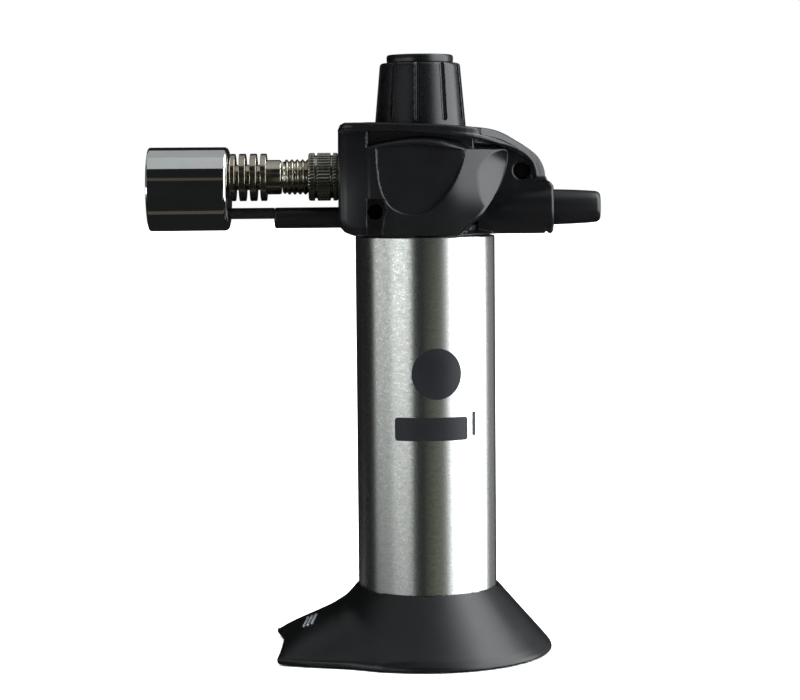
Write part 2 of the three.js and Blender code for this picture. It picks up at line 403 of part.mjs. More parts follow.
// ---------------------------------------------------------------- burner
{
  // burner tube: hex-less plain root in the head, air holes under the collar, M8 thread in front
  const p = [[2.2, -33.2]];
  const n = 5, x0 = -33.2;
  p.push([THREAD_ROOT_R, x0]);
  for (let i = 0; i < n; i++) {
    const c = x0 + 0.35 + i * THREAD_PITCH + 0.45;
    p.push([THREAD_ROOT_R, c - 0.55], [THREAD_R, c], [THREAD_ROOT_R, c + 0.55]);
  }
  p.push([THREAD_ROOT_R, -26.6], [3.75, -26.3], [3.75, -14.0], [2.2, -14.0]);
  let t = onX(p, BURN_Z, 0, 24);
  for (const s of [1, -1]) {
    t = t.subtract(hole(1.0, 'y', [-22.4, BURN_Z], -6, 6, 8));
    t = t.subtract(hole(1.0, 'z', [-22.4, 0], BURN_Z - 6, BURN_Z + 6, 8));
  }
  piece('burner_tube', 'nickel', t);
  const q = [[2.2, -49.6], [FIN_ROOT_R, -49.6]];
  for (const [a, b] of [[-45.4, -44.2], [-43.3, -41.75], [-40.75, -39.2], [-38.3, -36.9]]) q.push([FIN_ROOT_R, a], [FIN_R, a], [FIN_R, b], [FIN_ROOT_R, b]);
  q.splice(q.length - 1, 1, [4.03, -36.9]);
  q.push([4.03, -33.5], [2.2, -33.5]);
  piece('finned_barrel', 'nickel', onX(q, BURN_Z, 0, 28));
  piece('air_collar', 'knurl', onX([[4.4, COLLAR_X0], [5.3, COLLAR_X0], [COLLAR_R, COLLAR_X0 + 0.3], [COLLAR_R, -25.7], [5.0, -25.7], [5.0, -25.05], [COLLAR_R, -25.05],
    [COLLAR_R, -22.0], [5.0, -22.0], [5.0, -21.35], [COLLAR_R, -21.35], [COLLAR_R, COLLAR_X1], [4.0, COLLAR_X1], [4.0, -21.6], [4.9, -21.6], [4.9, -23.2], [4.4, -23.2]]
    , BURN_Z, 0, 30));
  piece('collar_ring', 'rubber', torus(4.35, 0.45, 20, 6).rotateY(Math.PI / 2).translate(-22.4, 0, BURN_Z));
}
// flame cup, open to the front, drawn in one piece with a closed back
{
  let cup = onX([[0, CUP_X1 - 1.2], [8.0, CUP_X1 - 1.2], [8.75, -48.3], [9.0, CUP_X0], [9.65, CUP_X0], [9.8, CUP_X0 + 0.35], [9.6, -47.6], [9.35, -46.7], [8.75, -46.0],
    [7.9, CUP_X1], [0, CUP_X1]], CUP_Z, 0, 40);
  cup = cut(cup, hole(3.3, 'x', [0, BURN_Z], -55, -40, 20), hole(1.7, 'x', [0, ELEC_Z], -55, -40, 14));
  piece('flame_cup', 'chrome', cup);
}
piece('burner_nozzle', 'nickel', onX([[3.3, -47.9], [5.0, -47.9], [5.2, -48.4], [5.2, -58.2], [4.3, -58.2], [4.3, -53.6], [2.4, -52.2], [2.4, -50.2], [3.3, -50.0]], BURN_Z, 0, 24));
{
  const s = new THREE.Shape();
  s.absarc(0, 0, 4.0, 0, 2 * Math.PI, false);
  const disc = new THREE.ExtrudeGeometry(s, { depth: 1.6, bevelEnabled: false, steps: 1, curveSegments: 10 });
  let d = solid(disc.rotateY(Math.PI / 2).translate(-57.6, 0, BURN_Z));
  const spots = [[0, 0]];
  for (let i = 0; i < 6; i++) spots.push([2.4 * Math.cos(i * Math.PI / 3), 2.4 * Math.sin(i * Math.PI / 3)]);
  for (const [y, z] of spots) d = d.subtract(hole(0.75, 'x', [y, BURN_Z + z], -60, -54, 8));
  piece('flame_holder', 'steel', d);
}
// electrode
piece('electrode_holder', 'black', cut(onX([[0, -35.2], [2.0, -35.2], [ARM_R, -34.8], [ARM_R, -15.2], [0, -15.2]], ARM_Z, 0, 20), hole(0.75, 'x', [0, ELEC_Z], -40, -10, 8)));
piece('electrode_sleeve', 'ceramic', onX(ring(0.7, 1.3, -49.0, -35.5), ELEC_Z, 0, 16));
piece('electrode_wire', 'steel', wire([[-14.9, 0, ELEC_Z], [-26, 0, ELEC_Z], [-40, 0, ELEC_Z], [-52, 0, ELEC_Z], [-57.5, 0, ELEC_Z], [-59.8, 0, ELEC_Z + 0.7], [-61.2, 0, ELEC_Z + 2.2]], 0.4, 18, 6));

export default torch;
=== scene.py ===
import math

import bpy
import bmesh
import numpy as np
from mathutils import Matrix, Vector
from mathutils.geometry import delaunay_2d_cdt


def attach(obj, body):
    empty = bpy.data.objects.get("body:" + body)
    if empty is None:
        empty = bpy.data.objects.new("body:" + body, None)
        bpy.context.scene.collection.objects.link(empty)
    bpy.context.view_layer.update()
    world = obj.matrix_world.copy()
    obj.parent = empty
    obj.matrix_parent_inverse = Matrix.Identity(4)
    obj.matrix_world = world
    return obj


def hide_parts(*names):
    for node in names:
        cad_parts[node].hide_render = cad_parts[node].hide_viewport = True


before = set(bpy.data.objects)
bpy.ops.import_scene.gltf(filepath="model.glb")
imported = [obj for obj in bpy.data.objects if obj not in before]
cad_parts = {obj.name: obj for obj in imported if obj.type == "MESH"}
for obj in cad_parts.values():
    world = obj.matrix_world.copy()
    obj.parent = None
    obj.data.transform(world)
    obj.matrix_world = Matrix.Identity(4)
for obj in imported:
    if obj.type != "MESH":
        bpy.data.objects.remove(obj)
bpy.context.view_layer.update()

# All shapes below are in millimetres in the torch's own frame: tank axis at x = 0, ground at
# z = 0, burner towards -X. SX moves them into the row frame.
SX = 11.715
TANK_R, TANK_Z0, TANK_Z1 = 16.35, 4.6, 97.9
HEAD_Z0, HEAD_Z1, HEAD_X0, HEAD_X1 = 98.2, 124.25, -20.0, 29.95
HEAD_W, FRONT_W, CORE_W, WEB_W, SPLIT = 17.0, 15.6, 12.6, 5.2, 0.15
VALVE_X, BURN_Z, CUP_Z, CUP_X0, CUP_X1 = -0.9, 111.8, 109.15, -64.5, -45.7
ELEC_Z, ARM_Z, ARM_R = 103.37, 102.25, 2.45
IGN_Z, BUTTON_X1 = 104.3, 41.07
KNOB_Z0, KNOB_SEAT_Z, KNOB_Z1, KNOB_R0, KNOB_R1, CAP_Z1 = 122.9, 122.6, 138.1, 10.6, 9.3, 140.0
STAND_R, STAND_Z1, STAND_BORE_R, STAND_HOLE_R = 29.4, 15.45, 16.65, 11.5
SCREW_FRONT, SCREW_REAR = (-11.5, 103.8), (22.6, 112.9)


# ------------------------------------------------------------------ mesh helpers
def new_mesh(name, verts, faces, normals=None, sharp=None):
    me = bpy.data.meshes.new(name)
    v = (np.asarray(verts, float) + [SX, 0, 0]) * 0.001
    me.from_pydata(v.tolist(), [], faces.tolist() if isinstance(faces, np.ndarray) else faces)
    me.validate()
    me.polygons.foreach_set("use_smooth", [True] * len(me.polygons))
    if normals is not None:
        me.normals_split_custom_set_from_vertices(np.asarray(normals, float).tolist())
    elif sharp is not None:
        me.set_sharp_from_angle(angle=math.radians(sharp))
    me.update()
    return me


def piece(name, me, body, mat, nodes=(), weighted=False):
    ob = bpy.data.objects.new(name, me)
    bpy.context.scene.collection.objects.link(ob)
    me.materials.clear()
    me.materials.append(mat)
    if weighted:
        w = ob.modifiers.new("weighted", "WEIGHTED_NORMAL")
        w.keep_sharp, w.weight = True, 60
    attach(ob, body)
    if nodes:
        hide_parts(*nodes)
    return ob


def fillet(pts, closed):
    """Rounds the corners of a profile: a point is (a, b) or (a, b, radius)."""
    out, n = [], len(pts)
    for i, p in enumerate(pts):
        r = p[2] if len(p) > 2 else 0.0
        if r <= 0 or (not closed and i in (0, n - 1)):
            out.append((p[0], p[1]))
            continue
        c = np.array(p[:2], float)
        a, b = np.array(pts[i - 1][:2], float) - c, np.array(pts[(i + 1) % n][:2], float) - c
        la, lb = np.hypot(*a), np.hypot(*b)
        a, b = a / la, b / lb
        half = math.acos(max(-1, min(1, float(a @ b)))) / 2
        if half > 1.54:
            out.append((p[0], p[1]))
            continue
        d = min(r / math.tan(half), 0.48 * la, 0.48 * lb)
        r = d * math.tan(half)
        m = (a + b) / np.hypot(*(a + b))
        o = c + m * r / math.sin(half)
        s, e = c + a * d - o, c + b * d - o
        t0, t1 = math.atan2(s[1], s[0]), math.atan2(e[1], e[0])
        dt = (t1 - t0 + math.pi) % (2 * math.pi) - math.pi
        k = max(2, int(abs(dt) / math.radians(14)) + 1)
        for j in range(k + 1):
            t = t0 + dt * j / k
            out.append((o[0] + r * math.cos(t), o[1] + r * math.sin(t)))
    return out


def grid_lathe(prof, n, axis="z", centre=(0.0, 0.0), sy=1.0, radial=None, closed=True):
    """Turned mesh. prof is (r, t). radial(k, angle) may add to the radius of point k."""
    prof = [tuple(p) for p in prof]
    open_ends = abs(prof[0][0]) < 1e-9 and abs(prof[-1][0]) < 1e-9
    verts, rings = [], []
    ang = np.arange(n) * 2 * np.pi / n
    for k, (r, t) in enumerate(prof):
        if abs(r) < 1e-9:
            verts.append(np.array([[0.0, 0.0, t]]))
            rings.append((len(rings) and rings[-1][1] or 0, 0))
        else:
            rr = np.full(n, r) if radial is None else r + radial(k, ang)
            verts.append(np.stack([rr * np.cos(ang), rr * np.sin(ang), np.full(n, t)], 1))
        rings[k:] = []
        rings.append((0, 0))
    starts, total = [], 0
    for v in verts:
        starts.append((total, len(v)))
        total += len(v)
    v = np.concatenate(verts)
    faces = []
    m = len(prof)
    last = m - 1 if open_ends or not closed else m
    for k in range(last):
        (a, na), (b, nb) = starts[k], starts[(k + 1) % m]
        if na == 1 and nb == 1:
            continue
        for j in range(n):
            j1 = (j + 1) % n
            if na == 1:
                faces.append((a, b + j1, b + j))
            elif nb == 1:
                faces.append((a + j, a + j1, b))
            else:
                faces.append((a + j, a + j1, b + j1, b + j))
    # outward faces
    vol = 0.0
    for f in faces[:: max(1, len(faces) // 20000)]:
        p = v[list(f)]
        for q in range(1, len(f) - 1):
            vol += np.dot(p[0], np.cross(p[q], p[q + 1]))
    if vol < 0:
        faces = [tuple(reversed(f)) for f in faces]
    if axis == "z":
        v = v + [centre[0], centre[1], 0]
    else:  # t along +X, keeping the handedness
        v = np.stack([v[:, 2], v[:, 0] * sy + centre[0], v[:, 1] + centre[1]], 1)
    return v, faces


def turned(name, prof, n, body, mat, nodes=(), axis="z", centre=(0.0, 0.0), sharp=28, sy=1.0, cuts=(), radial=None):
    closed = not (abs(prof[0][0]) < 1e-9 and abs(prof[-1][0]) < 1e-9)
    v, f = grid_lathe(fillet(prof, closed), n, axis, centre, sy, radial)
    me = new_mesh(name, v, f, sharp=sharp)
    if cuts:
        me = drilled(me, cuts, sharp)
        me.name = name
    return piece(name, me, body, mat, nodes, weighted=True)


def drilled(me, cuts, sharp):
    """Takes round bars (axis, centre pair, radius, t0, t1) out of a mesh with exact booleans."""
    tmp = bpy.data.objects.new("tmp_body", me)
    bpy.context.scene.collection.objects.link(tmp)
    tools = []
    for ax, c, r, t0, t1 in cuts:
        v, f = grid_lathe([(0, t0), (r, t0), (r, t1), (0, t1)], 32, "z")
        if ax == "x":
            v = np.stack([v[:, 2], v[:, 0] + c[0], v[:, 1] + c[1]], 1)
        elif ax == "y":
            v = np.stack([v[:, 1] + c[0], v[:, 2], v[:, 0] + c[1]], 1)
        else:
            v = v + [c[0], c[1], 0]
        tool = bpy.data.objects.new("tmp_tool", new_mesh("tmp_tool", v, f))
        bpy.context.scene.collection.objects.link(tool)
        tools.append(tool)
        m = tmp.modifiers.new("cut", "BOOLEAN")
        m.operation, m.solver, m.object = "DIFFERENCE", "EXACT", tool
    bpy.context.view_layer.update()
    dg = bpy.context.evaluated_depsgraph_get()
    out = bpy.data.meshes.new_from_object(tmp.evaluated_get(dg))
    for o in [tmp, *tools]:
        bpy.data.objects.remove(o)
    out.polygons.foreach_set("use_smooth", [True] * len(out.polygons))
    out.set_sharp_from_angle(angle=math.radians(sharp))
    return out


def sweep(points, radius, sides=14, steps=80, caps=True):
    """Tube along a smooth path; radius is a number or a function of 0..1."""
    p = np.asarray(points, float)
    d = np.concatenate([[0], np.cumsum(np.sqrt(((p[1:] - p[:-1]) ** 2).sum(1)) ** 0.5)])
    u = np.linspace(0, d[-1], steps + 1)
    path = np.stack([catmull1(d, p[:, k], u) for k in range(3)], 1)
    t = np.gradient(path, axis=0)
    t /= np.linalg.norm(t, axis=1)[:, None]
    nrm = np.cross(t[0], [0.3, 1, 0.2]); nrm /= np.linalg.norm(nrm)
    verts, faces = [], []
    for i in range(steps + 1):
        nrm = nrm - t[i] * (nrm @ t[i]); nrm /= np.linalg.norm(nrm)
        b = np.cross(t[i], nrm)
        r = radius(i / steps) if callable(radius) else radius
        for j in range(sides):
            a = 2 * math.pi * j / sides
            verts.append(path[i] + r * (math.cos(a) * nrm + math.sin(a) * b))
    for i in range(steps):
        for j in range(sides):
            j1 = (j + 1) % sides
            faces.append((i * sides + j, i * sides + j1, (i + 1) * sides + j1, (i + 1) * sides + j))
    if caps:
        for ring, sgn in ((0, -1), (steps, 1)):
            c = len(verts)
            r = radius(ring / steps) if callable(radius) else radius
            verts.append(path[ring] + sgn * t[ring] * r * 0.45)
            for j in range(sides):
                a, b2 = ring * sides + j, ring * sides + (j + 1) % sides
                faces.append((b2, a, c) if sgn < 0 else (a, b2, c))
    return np.array(verts), faces


def catmull1(d, y, u):
    m = np.gradient(y, d)
    i = np.clip(np.searchsorted(d, u, side="right") - 1, 0, len(d) - 2)
    h = d[i + 1] - d[i]
    s = (u - d[i]) / h
    return ((2 * s ** 3 - 3 * s ** 2 + 1) * y[i] + (s ** 3 - 2 * s ** 2 + s) * h * m[i]
            + (-2 * s ** 3 + 3 * s ** 2) * y[i + 1] + (s ** 3 - s ** 2) * h * m[i + 1])


def smooth_line(pts, per=4):
    """Centripetal Catmull-Rom through the points, open."""
    p = np.asarray(pts, float)
    d = np.concatenate([[0], np.cumsum(np.hypot(*(p[1:] - p[:-1]).T) ** 0.5)])
    u = np.concatenate([np.linspace(d[i], d[i + 1], per, endpoint=False) for i in range(len(d) - 1)] + [[d[-1]]])
    return [tuple(q) for q in np.stack([catmull1(d, p[:, 0], u), catmull1(d, p[:, 1], u)], 1)]


# ------------------------------------------------------------------ distance fields
class Outline:
    """Signed distance to a closed polygon, read from a fine table."""

    def __init__(self, pts, h=0.1, margin=3.0):
        p = np.asarray(pts, float)
        self.h, self.o = h, p.min(0) - margin
        n = np.ceil((p.max(0) + margin - self.o) / h).astype(int) + 2
        self.n = n
        u = self.o[0] + h * np.arange(n[0])[:, None]
        v = self.o[1] + h * np.arange(n[1])[None, :]
        d2 = np.full((n[0], n[1]), 1e9, np.float32)
        inside = np.zeros((n[0], n[1]), bool)
        for i in range(len(p)):
            (ax, ay), (bx, by) = p[i], p[(i + 1) % len(p)]
            ex, ey = bx - ax, by - ay
            L = ex * ex + ey * ey
            if L < 1e-12:
                continue
            wx, wy = u - ax, v - ay
            t = np.clip((wx * ex + wy * ey) / L, 0, 1)
            np.minimum(d2, (wx - t * ex) ** 2 + (wy - t * ey) ** 2, out=d2, casting="unsafe")
            if abs(ey) > 1e-12:
                row = (ay <= v) != (by <= v)
                xc = ax + (v - ay) / ey * ex
                inside ^= row & (u < xc)
        self.d = np.where(inside, -np.sqrt(d2), np.sqrt(d2)).astype(np.float32)

    def __call__(self, u, v):
        a, b = (u - self.o[0]) / self.h, (v - self.o[1]) / self.h
        ca, cb = np.clip(a, 0, self.n[0] - 1.001), np.clip(b, 0, self.n[1] - 1.001)
        i, j = ca.astype(int), cb.astype(int)
        i, j = np.broadcast_arrays(i, j)
        s, t = ca - i, cb - j
        d = self.d
        out = (d[i, j] * (1 - s) + d[i + 1, j] * s) * (1 - t) + (d[i, j + 1] * (1 - s) + d[i + 1, j + 1] * s) * t
        far = np.hypot((a - ca) * self.h, (b - cb) * self.h)
        return out + far


def smin(a, b, k):
    h = np.clip(0.5 + 0.5 * (b - a) / k, 0, 1)
    return b * (1 - h) + a * h - k * h * (1 - h)


def smax(a, b, k):
    return -smin(-a, -b, k)


def rmax(a, b, r):
    u, v = a + r, b + r
    return np.minimum(np.maximum(u, v), 0) + np.hypot(np.maximum(u, 0), np.maximum(v, 0)) - r


def nets(f, lo, hi, h):
    """Surface nets of f < 0 on a grid, with the vertices moved onto f = 0. Gives verts, quads, normals."""
    n = [int(math.ceil((b - a) / h)) + 1 for a, b in zip(lo, hi)]
    ax = [lo[k] + h * np.arange(n[k]) for k in range(3)]
    F = np.broadcast_to(f(ax[0][:, None, None], ax[1][None, :, None], ax[2][None, None, :]), n).astype(np.float32)
    S = F < 0
    C = np.zeros([m - 1 for m in n], np.int8)
    corners = [(i, j, k) for i in (0, 1) for j in (0, 1) for k in (0, 1)]
    for i, j, k in corners:
        C += S[i:n[0] - 1 + i, j:n[1] - 1 + j, k:n[2] - 1 + k]
    mask = (C > 0) & (C < 8)
    idx = np.full(mask.shape, -1, np.int64)
    cells = np.argwhere(mask)
    idx[mask] = np.arange(len(cells))
    acc, cnt = np.zeros((len(cells), 3)), np.zeros(len(cells))
    for a in corners:
        for k in range(3):
            if a[k]:
                continue
            b = list(a); b[k] = 1
            fa = F[tuple((cells + a).T)]; fb = F[tuple((cells + b).T)]
            cr = (fa < 0) != (fb < 0)
            t = fa[cr] / (fa[cr] - fb[cr])
            acc[cr] += np.asarray(a, float) + t[:, None] * (np.asarray(b, float) - a)
            cnt[cr] += 1
    V = np.asarray(lo, float) + h * (cells + acc / cnt[:, None])
    quads = []
    for k in range(3):
        u, v = (k + 1) % 3, (k + 2) % 3
        s0 = [slice(None)] * 3; s1 = [slice(None)] * 3
        s0[k], s1[k] = slice(0, n[k] - 1), slice(1, n[k])
        A, B = S[tuple(s0)], S[tuple(s1)]
        e = np.argwhere(A != B)
        e = e[(e[:, u] > 0) & (e[:, u] < n[u] - 1) & (e[:, v] > 0) & (e[:, v] < n[v] - 1)]
        inside = A[tuple(e.T)]
        du, dv = np.zeros(3, int), np.zeros(3, int)
        du[u], dv[v] = 1, 1
        q = np.stack([idx[tuple((e - du - dv).T)], idx[tuple((e - dv).T)], idx[tuple(e.T)], idx[tuple((e - du).T)]], 1)
        q[~inside] = q[~inside][:, ::-1]
        quads.append(q)
    Q = np.concatenate(quads)
    # onto the surface
    home = V.copy()
    N = None
    for step, eps in ((0, 0.08), (1, 0.06), (2, 0.06)):
        x, y, z = V.T
        g = np.stack([f(x + eps, y, z) - f(x - eps, y, z), f(x, y + eps, z) - f(x, y - eps, z), f(x, y, z + eps) - f(x, y, z - eps)], 1) / (2 * eps)
        L = np.linalg.norm(g, axis=1)
        N = g / np.maximum(L, 1e-6)[:, None]
        if step == 2:
            break
        d = f(x, y, z) / np.clip(L, 0.5, 2.0)
        move = np.clip(d, -0.5 * h, 0.5 * h)
        V = V - N * move[:, None]
        off = V - home
        V = home + np.clip(off, -0.75 * h, 0.75 * h)
    return V, Q, N


# ------------------------------------------------------------------ materials
class Mat:
    """Small builder for procedural node materials in object space (metres)."""

    def __init__(self, name):
        self.m = bpy.data.materials.new(name)
        self.m.use_nodes = True
        self.t = self.m.node_tree
        self.t.nodes.clear()
        self.out = self.t.nodes.new("ShaderNodeOutputMaterial")
        self.b = self.t.nodes.new("ShaderNodeBsdfPrincipled")
        self.t.links.new(self.b.outputs[0], self.out.inputs["Surface"])
        self.co = self.t.nodes.new("ShaderNodeTexCoord").outputs["Object"]

    def node(self, kind, **sets):
        n = self.t.nodes.new("ShaderNode" + kind)
        for k, v in sets.items():
            setattr(n, k, v)
        return n

    def link(self, a, b):
        self.t.links.new(a, b)

    def set(self, **kw):
        for k, v in kw.items():
            self.b.inputs[k.replace("_", " ")].default_value = v
        return self

    def coords(self, scale, src=None):
        n = self.node("Mapping")
        n.inputs["Scale"].default_value = scale
        self.link(src or self.co, n.inputs["Vector"])
        return n.outputs[0]

    def noise(self, scale, detail=3.0, rough=0.55, src=None, distortion=0.0):
        n = self.node("TexNoise")
        vec = self.coords((scale, scale, scale) if not hasattr(scale, "__len__") else tuple(scale), src)
        self.link(vec, n.inputs["Vector"])
        n.inputs["Scale"].default_value = 1.0
        n.inputs["Detail"].default_value = detail
        n.inputs["Roughness"].default_value = rough
        n.inputs["Distortion"].default_value = distortion
        return n.outputs["Fac"] if "Fac" in n.outputs else n.outputs[0]

    def spots(self, scale):
        n = self.node("TexVoronoi")
        self.link(self.coords((scale,) * 3), n.inputs["Vector"])
        n.inputs["Scale"].default_value = 1.0
        return n.outputs["Distance"]

    def remap(self, src, a, b, lo, hi, smooth=False):
        n = self.node("MapRange")
        if smooth:
            n.interpolation_type = "SMOOTHSTEP"
        for k, v in (("From Min", a), ("From Max", b), ("To Min", lo), ("To Max", hi)):
            n.inputs[k].default_value = v
        self.link(src, n.inputs["Value"])
        return n.outputs["Result"]

    def math(self, op, a, b=None):
        n = self.node("Math", operation=op)
        for k, v in ((0, a), (1, b)):
            if v is None:
                continue
            if isinstance(v, (int, float)):
                n.inputs[k].default_value = v
            else:
                self.link(v, n.inputs[k])
        return n.outputs[0]

    def mix(self, fac, c1, c2):
        n = self.node("Mix", data_type="RGBA")
        for k, v in ((0, fac), (6, c1), (7, c2)):
            if isinstance(v, (tuple, list)):
                n.inputs[k].default_value = (*v, 1) if len(v) == 3 else v
            elif isinstance(v, (int, float)):
                n.inputs[k].default_value = v
            else:
                self.link(v, n.inputs[k])
        return n.outputs[2]

    def color(self, src):
        self.link(src, self.b.inputs["Base Color"])
        return self

    def rough(self, src):
        self.link(src, self.b.inputs["Roughness"])
        return self

    def bump(self, src, strength, distance):
        n = self.node("Bump")
        n.inputs["Strength"].default_value = strength
        n.inputs["Distance"].default_value = distance
        self.link(src, n.inputs["Height"])
        self.link(n.outputs[0], self.b.inputs["Normal"])
        return self

    def edge(self):
        """0..1 on worn convex edges."""
        g = self.node("NewGeometry")
        return self.remap(g.outputs["Pointiness"], 0.52, 0.62, 0.0, 1.0)

    def sep(self):
        n = self.node("SeparateXYZ")
        self.link(self.co, n.inputs[0])
        return n.outputs


def plastic(name, dark, light, rough, grain, wear=0.25, spec=0.5):
    m = Mat(name)
    cloud = m.noise(70, 4)
    fine = m.noise(grain, 2, 0.6)
    c = m.mix(m.remap(cloud, 0.3, 0.7, 0, 1), dark, light)
    worn = m.math("MULTIPLY", m.edge(), m.remap(m.noise(420, 3), 0.35, 0.75, 0.0, wear))
    c = m.mix(worn, c, tuple(min(1, 3.2 * k + 0.012) for k in light))
    m.color(c)
    r = m.remap(cloud, 0.25, 0.75, rough - 0.05, rough + 0.05)
    r = m.math("ADD", r, m.remap(fine, 0.3, 0.7, -0.03, 0.03))
    m.rough(r)
    m.bump(fine, 0.22, 0.00003)
    m.set(Specular_IOR_Level=spec)
    return m.m


def metal(name, c1, c2, rough, scale=(220, 220, 220), grain=2600, bump=0.12, spread=0.06, aniso=0.0, extra=None):
    m = Mat(name)
    cloud = m.noise(scale, 4, 0.6)
    fine = m.noise(grain, 2, 0.5)
    c = m.mix(m.remap(cloud, 0.3, 0.7, 0, 1), c1, c2)
    if extra:
        c = extra(m, c)
    m.color(c)
    r = m.remap(cloud, 0.25, 0.75, rough - spread, rough + spread)
    m.rough(m.math("ADD", r, m.remap(fine, 0.3, 0.7, -0.02, 0.02)))
    m.bump(fine, bump, 0.00002)
    m.set(Metallic=1.0)
    if aniso:
        m.set(Anisotropic=aniso)
    return m.m


BLACK = plastic("moulded_black", (0.0026, 0.0028, 0.0037), (0.0040, 0.0042, 0.0055), 0.31, 5200)
KNOB = plastic("knob_black", (0.0032, 0.0034, 0.0044), (0.0048, 0.005, 0.0063), 0.29, 5600)
MATTE = plastic("stand_black", (0.0028, 0.0033, 0.0038), (0.0044, 0.0051, 0.0057), 0.335, 4200, wear=0.35)
CERAMIC = plastic("glazed_dark", (0.004, 0.004, 0.005), (0.007, 0.007, 0.008), 0.36, 3500, wear=0.0, spec=0.3)
RUBBER = plastic("seal_rubber", (0.012, 0.012, 0.012), (0.02, 0.02, 0.02), 0.75, 2600, wear=0.0, spec=0.3)
PRINT = plastic("print_ink", (0.007, 0.008, 0.011), (0.011, 0.012, 0.016), 0.42, 6000, wear=0.0, spec=0.25)
NYLON = plastic("natural_nylon", (0.62, 0.6, 0.54), (0.72, 0.7, 0.64), 0.48, 2600, wear=0.0)
WIRE = plastic("wire_red", (0.28, 0.02, 0.015), (0.38, 0.035, 0.025), 0.45, 3200, wear=0.0)
LABEL = plastic("pale_label", (0.42, 0.44, 0.46), (0.6, 0.62, 0.64), 0.55, 4000, wear=0.0)


def felt():
    m = Mat("wick_felt")
    n = m.noise((900, 900, 260), 5, 0.7, distortion=0.6)
    m.color(m.mix(m.remap(n, 0.3, 0.7, 0, 1), (0.5, 0.45, 0.36), (0.72, 0.67, 0.58)))
    m.rough(m.remap(n, 0.2, 0.8, 0.85, 1.0))
    m.bump(n, 0.7, 0.0002)
    return m.m


FELT = felt()


def brushed():
    m = Mat("brushed_sleeve")
    dash = m.noise((2300, 2300, 3900), 2, 0.6, distortion=0.1)
    dash2 = m.noise((700, 700, 1500), 2, 0.5)
    blot = m.noise((55, 55, 90), 3, 0.5)
    g = m.math("ADD", m.math("MULTIPLY", dash, 0.65), m.math("MULTIPLY", dash2, 0.35))
    c = m.mix(m.remap(g, 0.36, 0.64, 0, 1), (0.58, 0.60, 0.57), (0.86, 0.87, 0.85))
    c = m.mix(m.remap(blot, 0.35, 0.7, 0, 0.18), c, (0.70, 0.71, 0.66))
    m.color(c)
    m.rough(m.remap(g, 0.34, 0.66, 0.34, 0.26))
    m.bump(g, 0.07, 0.000012)
    m.set(Metallic=1.0, Anisotropic=0.65, Anisotropic_Rotation=0.25)
    t = m.node("Tangent", direction_type="RADIAL", axis="Z")
    m.link(t.outputs[0], m.b.inputs["Tangent"])
    return m.m


ALU = brushed()


def chrome():
    m = Mat("polished_chrome")
    film = m.noise((110, 260, 260), 4, 0.6)
    specks = m.noise(1900, 2, 0.5)
    z = m.sep()
    m.color(m.mix(m.remap(film, 0.35, 0.7, 0, 1), (0.80, 0.83, 0.82), (0.90, 0.91, 0.90)))
    r = m.remap(film, 0.3, 0.75, 0.035, 0.085)
    m.rough(m.math("ADD", r, m.remap(specks, 0.55, 0.8, 0.0, 0.05)))
    m.bump(film, 0.05, 0.00003)
    m.set(Metallic=1.0)
    return m.m


CHROME = chrome()


def heat(m, c):
    """Straw to brown tint towards the hot end."""
    x = m.sep()[0]
    f = m.remap(x, -0.041, -0.022, 0.75, 0.0, smooth=True)
    return m.mix(f, c, (0.42, 0.34, 0.24))


NICKEL = metal("warm_nickel", (0.56, 0.52, 0.43), (0.68, 0.64, 0.54), 0.17, (500, 240, 240), 3000, 0.08, 0.05, extra=heat)
KNURL = metal("knurled_steel", (0.34, 0.335, 0.29), (0.44, 0.43, 0.38), 0.24, 300, 2600, 0.12)
STEEL = metal("bright_steel", (0.55, 0.55, 0.56), (0.68, 0.68, 0.69), 0.22, 300, 3000, 0.08)
BLUED = metal("blackened_steel", (0.012, 0.012, 0.014), (0.022, 0.022, 0.025), 0.4, 400, 2600, 0.2)
BRASS = metal("turned_brass", (0.62, 0.44, 0.17), (0.74, 0.54, 0.24), 0.26, (240, 240, 1500), 3000, 0.12)
SCORCH = metal("scorched_steel", (0.22, 0.19, 0.16), (0.42, 0.38, 0.34), 0.42, 420, 2200, 0.25)

# ------------------------------------------------------------------ stand
cone = Outline(fillet([(-1, 0), (29.15, 0), (29.4, 0.35, 0.4), (29.25, 1.1, 0.9), (28.3, 2.35, 1.6), (16.85, STAND_Z1, 0.25), (-1, STAND_Z1)], True))
_end = [(-34.0 - 1.9 * (y / 17.0) ** 2, y) for y in np.linspace(16.2, 0, 14)]
_half = fillet([(0, 26.6), (-12, 26.5), (-15.6, 24.5), (-19, 23.2), (-23.7, 21.8), (-28.3, 20.4), (-32.2, 19.2), (-34.7, 18.4), (-36.0, 18.0, 1.9)] + _end, False)
toe_plan = Outline(_half + [(x, -y) for x, y in _half[:-1][::-1]])
_tx = np.linspace(-37, 0, 371)


def toe_table(pts):
    p = smooth_line(pts, 8)
    return np.interp(_tx, [q[0] for q in p], [q[1] for q in p])


TOE_W = toe_table([(-35.7, 18.1), (-32.2, 19.2), (-28.3, 20.4), (-23.7, 21.8), (-19, 23.2), (-15.6, 24.5), (-12, 26.4), (0, 27)])
TOE_C = toe_table([(-36.1, 2.6), (-35.2, 3.7), (-34, 4.9), (-32.5, 5.9), (-30, 7.2), (-28.2, 8.0), (-25.3, 9.3), (-22.4, 10.6), (-20.2, 11.5), (-12, 11.9), (0, 11.9)])
TOE_S = np.gradient(TOE_C, _tx)


TOE_TURN = math.radians(2.8)      # the toe stands slightly off square on the tank


